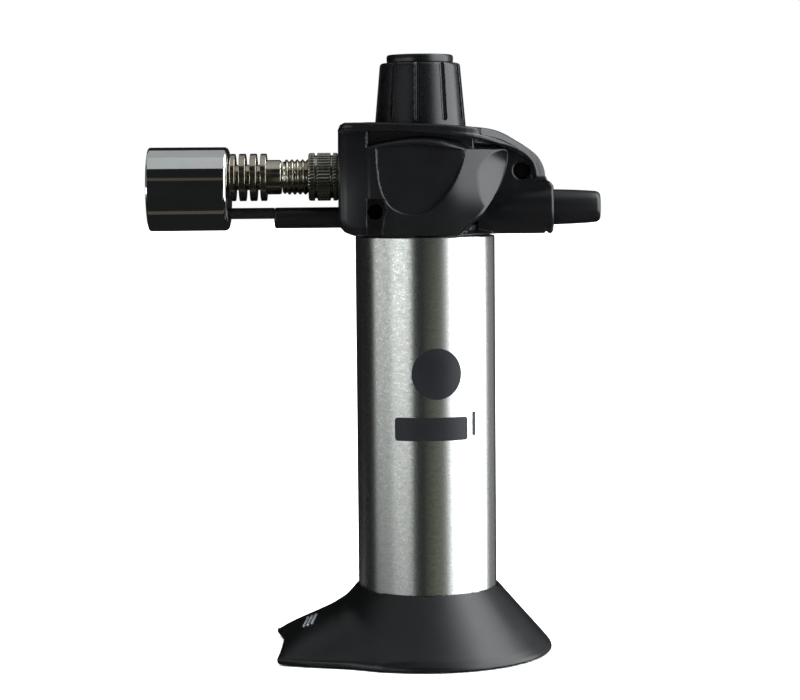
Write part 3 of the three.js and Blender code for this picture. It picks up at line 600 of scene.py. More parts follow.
def toe_sdf(x, y, z):
    x, y = x * math.cos(TOE_TURN) + y * math.sin(TOE_TURN), y * math.cos(TOE_TURN) - x * math.sin(TOE_TURN)
    w, c, sl = np.interp(x, _tx, TOE_W), np.interp(x, _tx, TOE_C), np.interp(x, _tx, TOE_S)
    v = y / w
    q = 1 - v * v
    edge = 1.65
    top = (z - (edge + (c - edge) * q)) / np.sqrt(1 + (2 * v / w * (c - edge)) ** 2 + (sl * np.clip(q, 0, 1)) ** 2)
    return smax(toe_plan(x, y), top, 0.5)


under = Outline([(-1, -2), (26.4, -2), (26.4, 1.0), (25.8, 2.6), (17.9, 11.2), (17.2, 11.6), (-1, 11.6)])


def stand_sdf(x, y, z):
    r = np.hypot(x, y)
    d = cone(r, z)
    d = smin(d, toe_sdf(x, y, z), 1.8)
    d = smax(d, -z, 0.45 + 1.0 * np.clip((-27.0 - x) / 6.0, 0, 1))      # rounder under the toe's end
    # socket, ledge, hole for the filling valve
    d = smax(d, -np.maximum(r - STAND_BORE_R, TANK_Z0 - 0.3 - z), 0.25)
    d = smax(d, -(r - STAND_HOLE_R), 0.4)
    # pockets between ten ribs
    a = np.arctan2(y, x)
    step = 2 * np.pi / 10
    f = (a / step - np.floor(a / step)) - 0.0
    f = np.minimum(f, 1 - f) * step            # angle from the nearest rib
    rib = 1.0 - r * np.sin(np.minimum(f, 1.2))
    pocket = np.maximum(np.maximum(under(r, z), 18.3 - r), rib)
    d = smax(d, -pocket, 0.5)
    return d


V, Q, N = nets(stand_sdf, (-37.6, -29.9, -0.45), (29.9, 29.9, 15.9), 0.36)
piece("stand_shell", new_mesh("stand_shell", V, Q, N), "stand", MATTE, ["stand"])

# ------------------------------------------------------------------ tank
turned("sleeve_tube", [(TANK_R - 0.7, TANK_Z0, 0.15), (TANK_R, TANK_Z0, 0.3), (TANK_R, TANK_Z0 + 3), (TANK_R, TANK_Z1 - 3), (TANK_R, TANK_Z1, 0.3), (TANK_R - 0.7, TANK_Z1, 0.15)],
       192, "torch", ALU, ["tank_sleeve"])
turned("bottom_cap_ring", [(5.2, 4.9, 0.3), (6.6, 4.9, 0.2), (6.9, 5.15, 0.2), (13.6, 5.15, 0.2), (13.9, 4.9, 0.2), (15.35, 4.9, 0.3), (15.35, 6.2, 0.2), (5.2, 6.2, 0.2)],
       96, "torch", MATTE, ["tank_bottom_cap"])
turned("refill_body", [(1.25, 3.6), (1.75, 3.6, 0.1), (2.05, 3.95, 0.1), (2.35, 3.95, 0.1), (2.55, 3.6, 0.1), (3.05, 3.6, 0.3), (3.05, 8.5), (4.6, 8.5, 0.2), (4.6, 9.6, 0.2), (3.05, 9.6), (3.05, 13.6, 0.3), (0.8, 13.6), (0.8, 12.6), (2.15, 12.6), (2.15, 7.2), (1.25, 7.2)],
       64, "torch", BRASS, ["refill_valve_body"])
turned("refill_pin", [(0, 2.6), (0.7, 2.6, 0.15), (0.95, 2.9, 0.1), (0.95, 8.6), (1.75, 8.6, 0.1), (1.75, 9.3, 0.1), (0, 9.3)], 40, "refill_stem", BRASS, ["refill_stem"])


def on_tank(name, outline, mat, z_shift=0.0):
    """Thin print patch on the sleeve; outline is in (arc length, z), seen from -Y."""
    o = np.asarray(outline, float)
    lo2, hi2 = o.min(0), o.max(0)
    pts = [tuple(p) for p in o]
    n = len(pts)
    edges = [(i, (i + 1) % n) for i in range(n)]
    s = lo2[0]
    while s < hi2[0]:                       # inner points keep the patch round
        t = lo2[1]
        while t < hi2[1]:
            if inside_poly(o, s, t, 0.25):
                pts.append((s, t))
            t += 0.9
        s += 0.7
    vs, _, fs, *_ = delaunay_2d_cdt([Vector(p) for p in pts], edges, [list(range(n))], 1, 1e-6)
    v2 = np.array([(p.x, p.y) for p in vs])
    a = v2[:, 0] / TANK_R
    out = []
    for r in (TANK_R + 0.03, TANK_R - 0.03):
        out.append(np.stack([r * np.sin(a), -r * np.cos(a), v2[:, 1] + z_shift], 1))
    m = len(v2)
    count = {}
    for f in fs:
        for i in range(len(f)):
            e = (f[i], f[(i + 1) % len(f)])
            count[e] = 1
    faces = [tuple(f) for f in fs] + [tuple(i + m for i in reversed(f)) for f in fs]
    faces += [(b, a2, a2 + m, b + m) for (a2, b) in count if (b, a2) not in count]
    V3 = np.concatenate(out)
    me = new_mesh(name, V3, faces, sharp=30)
    return piece(name, me, "torch", mat)


def inside_poly(o, s, t, gap):
    x, y = o[:, 0], o[:, 1]
    x2, y2 = np.roll(x, -1), np.roll(y, -1)
    cross = ((y > t) != (y2 > t)) & (s < (x2 - x) * (t - y) / np.where(y2 == y, 1e-9, y2 - y) + x)
    ex, ey = x2 - x, y2 - y
    u = np.clip(((s - x) * ex + (t - y) * ey) / np.maximum(ex * ex + ey * ey, 1e-12), 0, 1)
    d = np.hypot(s - x - u * ex, t - y - u * ey).min()
    return cross.sum() % 2 == 1 and d > gap


def disc2(cx, cz, r, n=56):
    return [(cx + r * math.cos(2 * math.pi * i / n), cz + r * math.sin(2 * math.pi * i / n)) for i in range(n)]


def bar2(x0, x1, z0, z1, r=0.5):
    out = []
    for cx, cz, a0 in ((x1 - r, z1 - r, 0), (x0 + r, z1 - r, 90), (x0 + r, z0 + r, 180), (x1 - r, z0 + r, 270)):
        for k in range(5):
            a = math.radians(a0 + 22.5 * k)
            out.append((cx + r * math.cos(a), cz + r * math.sin(a)))
    # points along the long sides
    full = []
    for i, p in enumerate(out):
        q = out[(i + 1) % len(out)]
        full.append(p)
        L = math.hypot(q[0] - p[0], q[1] - p[1])
        for k in range(1, int(L / 0.8)):
            full.append((p[0] + (q[0] - p[0]) * k / int(L / 0.8), p[1] + (q[1] - p[1]) * k / int(L / 0.8)))
    return full


on_tank("print_disc", disc2(2.35, 66.6, 5.9), PRINT)
on_tank("print_bar", bar2(-7.7, 9.9, 51.2, 56.6, 0.7), PRINT)
on_tank("print_tick", bar2(11.3, 12.3, 52.0, 57.6, 0.3), PRINT)

# ------------------------------------------------------------------ knob
knob_out = Outline(fillet([(-1, KNOB_Z0), (KNOB_R0, KNOB_Z0, 0.3), (KNOB_R0, KNOB_Z0 + 0.8, 0.3), (KNOB_R1 + 0.02, KNOB_Z1 - 0.1, 0.8), (4.2, KNOB_Z1, 0.2), (4.2, 136.2), (-1, 136.2)], True), 0.06, 2)
knob_in = Outline([(3.2, 122), (8.9, 122), (8.8, 124), (7.8, 134.4), (7.6, 134.6), (3.2, 134.6)], 0.06, 2)
FLUTES, FLUTE_A = 10, math.radians(-90 - 4)
SLOPE = (KNOB_R0 - KNOB_R1) / (KNOB_Z1 - KNOB_Z0)


def knob_sdf(x, y, z):
    px = x - VALVE_X
    r = np.hypot(px, y)
    d = knob_out(r, z)
    d = smax(d, -knob_in(r, z), 0.2)
    a = np.arctan2(y, px) - FLUTE_A
    step = 2 * np.pi / FLUTES
    a = (a + step / 2) % step - step / 2
    u, v = r * np.cos(a), r * np.sin(a)
    surf = KNOB_R0 - SLOPE * (z - KNOB_Z0)
    # round-bottomed flute, running out above the skirt
    slot = np.sqrt(v * v + np.minimum(z - 125.2, 0) ** 2 + np.minimum(u - surf, 0) ** 2) - 0.66
    d = smax(d, -slot, 0.12)
    d = np.maximum(d, 1.65 - r)
    boss = np.maximum(np.maximum(r - 3.2, 127 - z), z - 136.2)
    d = np.minimum(d, np.maximum(boss, 1.65 - r))
    return d


V, Q, N = nets(knob_sdf, (VALVE_X - 11.0, -11.0, 122.5), (VALVE_X + 11.0, 11.0, 138.5), 0.195)
piece("knob_grip", new_mesh("knob_grip", V, Q, N), "knob", KNOB, ["gas_knob"])
turned("knob_disc", [(0, 137.75), (3.9, 137.75), (3.9, 138.12), (7.7, 138.12, 0.1), (7.78, 138.9, 0.3), (7.72, 139.9, 1.05), (6.3, CAP_Z1, 0.5), (5.3, CAP_Z1 - 0.03, 0.2), (5.05, CAP_Z1 - 0.22, 0.2), (0, CAP_Z1 - 0.25)],
       112, "knob", KNOB, ["knob_cap"], centre=(VALVE_X, 0))

# ------------------------------------------------------------------ head shells
top_line = smooth_line([(-12, HEAD_Z1), (-2, 123.95), (5, 123.55), (8.5, 123.25), (11.5, 122.98), (13.35, 122.8), (15.2, 122.5), (17.1, 121.95), (19.0, 121.1), (20.8, 120.05), (22.7, 118.95),
                        (24.6, 117.7), (26.3, 116.15), (27.3, 114.5), (27.9, 112.9), (28.1, 111.4), (28.4, 110.6)], 4)
sil = [(HEAD_X0, 101.6), (-19.6, 100.2), (-18.6, 99.1), (-17.2, 98.5), (-16.2, HEAD_Z0), (29.4, HEAD_Z0), (HEAD_X1, 98.9), (HEAD_X1, 109.2), (29.4, 110.1)] \
    + top_line[::-1] + [(-18.4, HEAD_Z1), (-19.5, 123.7), (HEAD_X0, 122.6)]
SIL = Outline(fillet([(*p, 0.0) for p in sil], True))
cheek_right = smooth_line([(19.1, 117.1), (18.9, 114.6), (17.8, 111.0), (16.9, 108.9), (15.6, 106.7), (14.4, 104.9), (12.9, 102.75), (11.2, 101.1), (8.95, 99.4), (7.4, HEAD_Z0 - 0.5)], 4)
cheek_top = smooth_line([(-13.3, 118.9), (-10.3, 119.5), (-6.3, 120.2), (-3, 120.6), (0.3, 120.7), (5, 120.2), (9.1, 119.4), (13.5, 118.7), (17.8, 118.25)], 3)
CHEEK = Outline([(-13.3, HEAD_Z0 - 0.5)] + cheek_top + [(18.7, 117.95)] + cheek_right)
dish_line = smooth_line([(9.05, 117.7), (8.6, 115.5), (7.3, 112), (6.1, 109.7), (4.6, 107.6), (3.0, 105.7), (1.1, 104.1), (-1.1, 103.25), (-3.4, 103.1), (-5.7, 103.6),
                         (-7.7, 104.65), (-9.3, 106.9), (-10.3, 109.5), (-10.9, 114), (-11.1, 118.2)], 4)
DISH = Outline(dish_line + smooth_line([(-11.1, 118.2), (-6.5, 118.8), (-1.9, 119.05), (3.6, 118.6), (9.05, 117.7)], 4)[1:-1])
FRONT = Outline([(HEAD_X0, 101.6), (-19.6, 100.2), (-18.6, 99.1), (-17.2, 98.5), (-16.2, HEAD_Z0), (-5, HEAD_Z0), (-5, HEAD_Z1), (-18.4, HEAD_Z1), (-19.5, 123.7), (HEAD_X0, 122.6)])
CORE = Outline([(-14, HEAD_Z0), (-14, 123.2), (-2, 123.2), (5, 123.0), (11.2, 122.4), (11.2, 101.1), (8.9, HEAD_Z0)])
WALL = Outline(smooth_line([(-14, -12.6), (-5, -12.6), (5, -12.6), (11, -11.3), (16, -8.9), (20.5, -6.2), (23, -5.0)], 4) + [(23, 3), (-14, 3)])
brow_half = smooth_line([(-20, -5), (-19.9, -11), (-19, -13.6), (-16.6, -14.6), (-6, -14.75), (6, -14.6), (11, -13.6), (16, -11.2), (20.5, -8.2), (24.5, -6.3), (29, -5.8)], 3)
BROW = Outline([(-20, 3)] + brow_half + [(29, 3)])
rim_low = smooth_line([(-13.3, 122.2), (-5.7, 122.1), (3.4, 121.4), (10.3, 120.65), (13.8, 120.05), (17.3, 119.0), (19.6, 118.0), (21.5, 116.9), (23.2, 115.65), (24.1, 114.6), (24.7, 113.2), (25.2, 110.8)], 4)
RIM = Outline([(-20.5, 122.1)] + rim_low + [(29.95, 110.5), (29.95, 126), (-20.5, 126)])
SHOULDER = Outline([(-1, HEAD_Z0), (16.55, HEAD_Z0), (16.55, 98.4), (16.3, 98.65), (13.2, 99.3), (12.5, 101.4), (-1, 101.4)])
boss_line = smooth_line([(3.1, 12), (4.1, 14.5), (4.9, 17), (5.45, 20), (5.75, 23), (5.95, 26), (6.17, 28.6), (6.22, 29.25)], 4)
BOSS = Outline([(-1, 10.5)] + boss_line + [(6.16, 29.5), (5.98, 29.75), (5.6, HEAD_X1), (-1, HEAD_X1)])
CAV1 = Outline([(-18.2, 100.4), (-18.2, 121.9), (-4, 121.9), (4, 121.8), (9.6, 121), (9.6, 101.6), (8, 100.4)])
CAV2 = Outline([(-11.9, 100.4), (-11.9, 115.5), (7.0, 115.5), (7.0, 111), (3.0, 104), (0, 100.8)])
CAV3 = Outline([(-18.2, 101.9), (-18.2, 121.9), (-14.6, 121.9), (-14.6, 101.9)])
PIT = Outline([(-13.32, 95), (-13.32, 106.7), (-9.4, 106.7), (-8.9, 104.5), (-9.6, 102.2), (-10.4, 95)])


def cheek_half(x, z):
    """Half width of the cheeks, crowned in height and drawn in behind the dish."""
    up, dn = np.maximum(z - 107.0, 0), np.maximum(107.0 - z, 0)
    u, b, c = np.clip((x - 1.0) / 8.0, 0, 1), np.maximum(x - 9.0, 0), np.maximum(-9.0 - x, 0)
    t = np.clip((z - 102.0) / 9.0, 0, 1)
    t = 0.38 + 0.62 * t * t * (3 - 2 * t)
    draw = 3.60 * (u ** 3 - u ** 4 / 2) + 0.45 * b + 0.0010 * b * b
    slope = 0.45 * u * u * (3 - 2 * u) + 0.002 * b
    h = HEAD_W - 1.7 * (up / 12.0) ** 2 - 0.5 * (dn / 9.0) ** 2 - t * draw - 0.011 * c * c
    g = np.sqrt(1 + (3.4 * up / 144) ** 2 + (dn / 81) ** 2 + (t * slope) ** 2 + (0.022 * c) ** 2)
    return h, g


def dish_floor(x, z):
    """Half width of the dish floor: follows the crown, shallow along the left edge."""
    lean = np.interp(z, (103, 104.6, 106.9, 109.5, 114, 118), (3.9, 3.3, 1.7, 0.7, 0.1, 0))
    up, dn = np.maximum(z - 107.0, 0), np.maximum(107.0 - z, 0)
    return HEAD_W - 0.19 - 1.7 * (up / 12.0) ** 2 - 0.5 * (dn / 9.0) ** 2 - 0.080 * (x + 11.0 - lean)


def ball(u, v, c, r):
    return np.hypot(u - c[0], v - c[1]) - r


def head_sdf(near):
    def f(x, y, z):
        a = -y
        s2 = SIL(x, z)
        H, g = cheek_half(x, z)
        web = rmax(s2, a - WEB_W, 0.8)
        # broad bevel along the tail's outer edge
        web = smax(web, (a - (4.6 - 0.55 * s2) - np.interp(x, (18, 21), (4, 0)) - np.interp(z, (108.5, 110.5), (4, 0))) / 1.14, 0.15)
        cheek = rmax(CHEEK(x, z), (a - H) / g, 0.9)
        # chamfered top of the cheek, running down into the top edge of the wing
        zc = np.interp(x, (-13, -5, 0, 3.6, 6.5, 9.05), (118.9, 119.6, 119.7, 119.2, 118.6, 117.8))
        cheek = smax(cheek, (a + 0.9 * (z - zc) - cheek_half(x, zc)[0]) / 1.345, 0.12)
        front = rmax(FRONT(x, z), (a - H) / g, 2.2)
        front = smax(front, -np.maximum(-13.3 - x, 118.5 - z), 0.15)
        core = rmax(CORE(x, z), a - CORE_W, 0.5)
        plate, lip = BROW(x, y), RIM(x, z)
        brow = smax(rmax(s2, plate, 0.8), lip, 0.35)
        brow = smax(brow, (plate + 0.55 * s2 + np.interp(x, (8, 13), (-3.0, 1.45))) / 1.14, 0.15)
        wall = np.maximum(WALL(x, y), 117.6 - z)
        bead = np.hypot(plate + 0.12, lip + 0.3) - (0.22 + 0.48 * np.clip((x - 2) / 12, 0, 1))
        shoulder = SHOULDER(np.hypot(x, a), z)
        boss = BOSS(np.hypot(a / 1.18, z - IGN_Z), x)
        d = smin(web, core, 0.3)
        d = smin(d, cheek, 0.3)
        d = smin(d, front, 0.3)
        d = smin(d, wall, 0.5)
        d = smin(d, brow, 0.3)
        d = smin(d, bead, 0.35)
        d = smin(d, shoulder, 0.5)
        d = smin(d, boss, 0.9)
        d = smax(d, s2, 0.3)
        # dish, deeper along its lower right edge
        d = smax(d, -np.maximum(DISH(x, z), dish_floor(x, z) - a), 0.28)
        # inside
        hole = np.maximum(CAV1(x, z), a - 11.2)
        hole = np.minimum(hole, np.maximum(CAV2(x, z), a - 12.9))
        hole = np.minimum(hole, np.maximum(CAV3(x, z), a - 13.4))
        hole = np.minimum(hole, np.maximum(np.hypot(x, a) - 13.2, z - 101.6))
        post = np.maximum(ball(x, z, SCREW_FRONT, 2.9), np.maximum(100.9 - z, a - 15.0))
        hole = np.maximum(hole, -post)
        d = smax(d, -hole, 0.15)
        drill = np.maximum(ball(x, y, (VALVE_X, 0), 2.9), 115 - z)
        drill = np.minimum(drill, np.maximum(ball(x, y, (VALVE_X, 0), 11.2), KNOB_SEAT_Z - z))
        drill = np.minimum(drill, np.maximum(ball(y, z, (0, BURN_Z), 4.05), x + 15))
        drill = np.minimum(drill, np.maximum(ball(y, z, (0, ARM_Z), ARM_R + 0.3), x + 15))
        drill = np.minimum(drill, np.maximum(ball(y, z, (0, IGN_Z), 4.3), np.maximum(4 - x, x - 23)))
        drill = np.minimum(drill, np.maximum(ball(y, z, (0, IGN_Z), 5.0), np.maximum(21.8 - x, x - 28.4)))
        drill = np.minimum(drill, np.maximum(ball(y, z, (0, IGN_Z), 4.4), 20 - x))
        if near:
            pit = np.maximum(PIT(x, z), 13.8 - a)
            fr = ball(x, z, SCREW_FRONT, 0.0)
            rr = ball(x, z, SCREW_REAR, 0.0)
            drill = np.minimum(drill, pit)
            drill = np.minimum(drill, np.maximum(fr - 1.75, 6 - a))
            drill = np.minimum(drill, np.maximum(fr - 1.3, a - 7))
            drill = np.minimum(drill, np.maximum(rr - 1.9, 2.4 - a))
            drill = np.minimum(drill, np.maximum((rr - 1.9 - (a - (WEB_W - 0.4))) * 0.707, (WEB_W - 1.5) - a))
            drill = np.minimum(drill, np.maximum(rr - 1.3, a - 3))
        else:
            drill = np.minimum(drill, np.maximum(ball(x, z, SCREW_FRONT, 1.3), a - 10))
            drill = np.minimum(drill, np.maximum(ball(x, z, SCREW_REAR, 1.3), a - 4.2))
        drill = np.minimum(drill, ball(x, z, (28.35, 98.3), 0.5))
        d = smax(d, -drill, 0.14)
        return smax(d, 0.03 - a, 0.14)         # the shells meet on the middle plane
    return f


for near in (True, False):
    V, Q, N = nets(head_sdf(near), (-20.5, -17.5, 97.75), (30.4, 0.25, 124.75), 0.29)
    if not near:
        V, N, Q = V * [1, -1, 1], N * [1, -1, 1], Q[:, ::-1]
    side = "near" if near else "far"
    piece(f"head_{side}", new_mesh(f"head_{side}", V, Q, N), "torch", BLACK, [f"head_shell_{side}"])

# ------------------------------------------------------------------ igniter button
turned("button_cap", [(2.4, 26.6), (4.75, 26.6, 0.2), (4.75, 28.1, 0.2), (4.15, 28.1), (4.12, 31), (3.98, 35), (3.8, 38.2), (3.62, 40.2, 0.9), (3.15, BUTTON_X1, 0.8),
                      (1.5, BUTTON_X1 - 0.05), (0, BUTTON_X1 - 0.08), (0, 33.6), (2.4, 33.6)],
       96, "igniter", BLACK, ["ignition_button"], axis="x", centre=(0, IGN_Z))

# ------------------------------------------------------------------ burner
turned("burner_cup", [(0, CUP_X1 - 1.2), (7.6, CUP_X1 - 1.2, 0.6), (8.75, -48.3, 0.5), (9.0, CUP_X0 + 0.2, 0.1), (9.2, CUP_X0, 0.1), (9.6, CUP_X0, 0.2), (9.8, CUP_X0 + 0.4, 0.22),
                      (9.76, CUP_X1, 1.1), (0, CUP_X1)],
       168, "torch", CHROME, ["flame_cup"], axis="x", centre=(0, CUP_Z), sharp=40,
       cuts=[("x", (0, BURN_Z), 3.3, -55, -40), ("x", (0, ELEC_Z), 1.7, -55, -40)])
turned("nozzle_tube", [(3.3, -47.9), (5.0, -47.9, 0.2), (5.2, -48.4, 0.2), (5.2, -52.4), (5.05, -52.6), (5.05, -53.1), (5.2, -53.3), (5.2, -58.2, 0.25), (4.3, -58.2, 0.15), (4.3, -53.6), (2.4, -52.2), (2.4, -50.2), (3.3, -50.0)],
       96, "torch", NICKEL, ["burner_nozzle"], axis="x", centre=(0, BURN_Z))
turned("flame_grid", [(0, -57.6), (3.8, -57.6), (4.0, -57.4), (4.0, -56.0), (0, -56.0)], 72, "torch", SCORCH, ["flame_holder"], axis="x", centre=(0, BURN_Z),
       cuts=[("x", (0, BURN_Z), 0.75, -60, -54)] + [("x", (2.4 * math.cos(i * math.pi / 3), BURN_Z + 2.4 * math.sin(i * math.pi / 3)), 0.75, -60, -54) for i in range(6)])
fins = [(2.2, -49.6), (2.98, -49.6)]
for a, b in ((-45.4, -44.2), (-43.3, -41.75), (-40.75, -39.2)):
    fins += [(2.98, a, 0.15), (5.54, a, 0.16), (5.54, b, 0.16), (2.98, b, 0.15)]
fins += [(2.98, -38.3, 0.15), (5.54, -38.3, 0.16), (5.54, -36.9, 0.16), (4.03, -36.9), (4.03, -33.9), (3.85, -33.5), (2.2, -33.5)]
turned("fin_tube", fins, 120, "torch", NICKEL, ["finned_barrel"], axis="x", centre=(0, BURN_Z))


def thread_tube():
    """Burner tube with a real M8 helix, plain root in the head and four air holes."""
    n, x0, x1, pitch, root, crest = 96, -33.2, -26.6, 1.25, 3.62, 4.15
    xs = [x0 + 0.1 * k for k in range(int(round((x1 - x0) / 0.1)) + 1)]
    prof = [(2.2, x0)] + [(root, x) for x in xs] + [(3.66, -26.45), (3.75, -26.3), (3.75, -14.0), (2.2, -14.0)]
    v, f = grid_lathe(prof, n, "x", (0, BURN_Z))
    yz = v[:, 1:] - [0, BURN_Z]
    r, a = np.hypot(*yz.T), np.arctan2(yz[:, 1], yz[:, 0])
    on = (r > 3.5) & (v[:, 0] < x1 + 0.01)
    ph = ((v[:, 0] - x0) / pitch - a / (2 * np.pi)) % 1.0
    tri = np.clip(1.16 - 2.32 * np.abs(ph - 0.5) * 1.05, 0, 1)      # flat crest, flat root
    tri = tri * np.clip((v[:, 0] - x0 - 0.12) / 0.45, 0, 1) * np.clip((x1 - v[:, 0]) / 0.35, 0, 1)
    rr = np.where(on, root - 0.02 + (crest - root + 0.02) * tri, r)
    v[:, 1], v[:, 2] = rr * np.cos(a), BURN_Z + rr * np.sin(a)
    me = new_mesh("thread_tube", v, f, sharp=50)
    me = drilled(me, [("y", (-22.4, BURN_Z), 1.0, -6, 6), ("z", (-22.4, 0), 1.0, BURN_Z - 6, BURN_Z + 6)], 50)
    me.name = "thread_tube"
    piece("thread_tube", me, "torch", NICKEL, ["burner_tube"], weighted=False)


thread_tube()


def collar():
    """Knurled air collar: straight knurl in three bands between two round grooves."""
    R, teeth, deep = 5.6, 44, 0.2
    x0, x1 = -27.1, -20.3
    prof, knurl = [], []

    def add(r, t, k=0.0):
        prof.append((r, t)); knurl.append(k)
    add(4.4, x0); add(5.25, x0); add(5.42, x0 + 0.06); add(5.55, x0 + 0.28, 0.6)
    for t in np.linspace(x0 + 0.42, -25.82, 4): add(R, float(t), 1.0)
    add(5.56, -25.72, 0.6); add(5.1, -25.62); add(5.0, -25.5); add(5.0, -25.25); add(5.1, -25.12); add(5.56, -25.02, 0.6)
    for t in np.linspace(-24.9, -22.15, 7): add(R, float(t), 1.0)
    add(5.56, -22.03, 0.6); add(5.1, -21.93); add(5.0, -21.8); add(5.0, -21.55); add(5.1, -21.43); add(5.56, -21.33, 0.6)
    for t in np.linspace(-21.22, x1 - 0.3, 4): add(R, float(t), 1.0)
    add(5.5, x1 - 0.1, 0.4); add(5.4, x1); add(4.0, x1); add(4.0, -21.6); add(4.9, -21.6); add(4.9, -23.2); add(4.4, -23.2)

    def radial(k, ang):
        if not knurl[k]:
            return 0 * ang
        p = (ang * teeth / (2 * np.pi)) % 1.0
        tooth = np.clip((0.5 - np.abs(p - 0.5)) * 4.2 - 0.35, 0, 1)
        return -deep * knurl[k] * (1 - tooth)
    v, f = grid_lathe(prof, teeth * 8, "x", (0, BURN_Z), radial=radial)
    piece("collar_knurl", new_mesh("collar_knurl", v, f, sharp=32), "air_collar", KNURL, ["air_collar"], weighted=True)


collar()

# electrode
turned("electrode_arm", [(0, -35.2), (2.1, -35.2, 0.3), (ARM_R, -34.9, 0.3), (ARM_R, -15.2, 0.2), (0, -15.2)], 72, "torch", BLACK, ["electrode_holder"], axis="x", centre=(0, ARM_Z),
       cuts=[("x", (0, ELEC_Z), 0.75, -40, -10)])
turned("electrode_tube", [(0.7, -49.0), (1.1, -49.0, 0.12), (1.3, -48.7, 0.12), (1.3, -35.22), (0.7, -35.22)], 48, "torch", CERAMIC, ["electrode_sleeve"], axis="x", centre=(0, ELEC_Z))
V, F = sweep([(-14.9, 0, ELEC_Z), (-26, 0, ELEC_Z), (-40, 0, ELEC_Z), (-52, 0, ELEC_Z), (-57.5, 0, ELEC_Z), (-59.8, 0, ELEC_Z + 0.7), (-61.2, 0, ELEC_Z + 2.2)], 0.4, 12, 90)
piece("electrode_tip", new_mesh("electrode_tip", V, F, sharp=60), "torch", STEEL, ["electrode_wire"])

# ------------------------------------------------------------------ CAD nodes kept, with finer finishes
KEEP = {
    "fuel_tank": NYLON, "tank_top_cap": MATTE, "valve_seal": RUBBER, "wick": FELT, "refill_seal": RUBBER, "refill_spring": STEEL,
    "gas_valve_body": BRASS, "gland_nut": BRASS, "spindle_seal": RUBBER, "needle_spindle": STEEL, "jet": BRASS, "knob_screw": STEEL,
    "shell_screw_front": BLUED, "shell_screw_rear": BLUED, "piezo_case": NYLON, "piezo_contact": BRASS, "piezo_spring": STEEL,
    "piezo_plunger": NYLON, "ignition_wire": WIRE, "collar_ring": RUBBER,
}
for node, mat in KEEP.items():
    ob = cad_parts[node]
    if not ob.material_slots:
        ob.data.materials.append(mat)
    for s in ob.material_slots:
        s.link = "OBJECT"
        s.material = mat

# ------------------------------------------------------------------ camera
PITCH, ROLL = math.radians(4.60), math.radians(-0.50)
fwd = Vector((0, math.cos(PITCH), -math.sin(PITCH)))
right0 = Vector((1, 0, 0))
up0 = right0.cross(fwd)
right = right0 * math.cos(ROLL) + up0 * math.sin(ROLL)
up = -right0 * math.sin(ROLL) + up0 * math.cos(ROLL)
cam = bpy.data.objects.new("camera", bpy.data.cameras.new("camera"))
bpy.context.scene.collection.objects.link(cam)
m = Matrix((right, up, -fwd)).transposed().to_4x4()
m.translation = Vector((0.005615, -0.550, 0.1152))
cam.matrix_world = m
cam.data.sensor_width = 36.0
cam.data.lens = 2342 * 36.0 / 800
cam.data.clip_start, cam.data.clip_end = 0.02, 20
bpy.context.scene.camera = cam

# ------------------------------------------------------------------ toe label: three short pale bars
def cast(px, py):
    """Point of the stand's outer surface seen at an 800 x 700 picture position, and its normal (mm)."""
    c = np.array([cam.location.x, cam.location.y, cam.location.z]) * 1000 - [SX, 0, 0]
    d = np.array(fwd) + np.array(right) * (px - 400) / 2342 - np.array(up) * (py - 350) / 2342
    d /= np.linalg.norm(d)
    t = 480.0
    for _ in range(200):
        p = c + d * t
        s = float(stand_sdf(np.array([p[0]]), np.array([p[1]]), np.array([p[2]]))[0])
        if s < 0.005:
            break
        t += max(0.7 * s, 0.004)
        if t > 620:
            return None
    e = 0.1
    q = np.array([p, p + [e, 0, 0], p + [0, e, 0], p + [0, 0, e]])
    v = stand_sdf(q[:, 0], q[:, 1], q[:, 2])
    n = (v[1:] - v[0]) / e
    return p, n / np.linalg.norm(n)


def label_bar(name, a, b, radius):
    """Thin raised pale bar following the toe between two picture positions."""
    pts = [cast(a[0] + (b[0] - a[0]) * k / 6, a[1] + (b[1] - a[1]) * k / 6) for k in range(7)]
    pts = [tuple(p + n * 0.04) for p, n in (q for q in pts if q is not None)]
    V, F = sweep(pts, radius, 10, 24)
    piece(name, new_mesh(name, V, F, sharp=60), "stand", LABEL)


label_bar("toe_mark_1", (303.8, 626.6), (308.4, 617.6), 0.30)
label_bar("toe_mark_2", (307.8, 625.2), (312.3, 616.2), 0.30)
label_bar("toe_mark_3", (311.8, 623.6), (316.2, 614.8), 0.30)

# ------------------------------------------------------------------ floor, light
floor_me = bpy.data.meshes.new("floor")
bm = bmesh.new()
R = 4.0
ring = [bm.verts.new((R * math.cos(2 * math.pi * k / 64), R * math.sin(2 * math.pi * k / 64), -0.0002)) for k in range(64)]
bm.faces.new(ring)
bm.to_mesh(floor_me)
bm.free()
floor = bpy.data.objects.new("floor", floor_me)
bpy.context.scene.collection.objects.link(floor)
fm = Mat("studio_floor")
fm.color(fm.mix(fm.remap(fm.noise(9, 3), 0.3, 0.7, 0, 1), (0.80, 0.80, 0.80), (0.84, 0.84, 0.84)))
fm.rough(fm.remap(fm.noise(60, 3), 0.3, 0.7, 0.75, 0.9))
fm.set(Specular_IOR_Level=0.15)
floor_me.materials.append(fm.m)
floor.visible_glossy = False


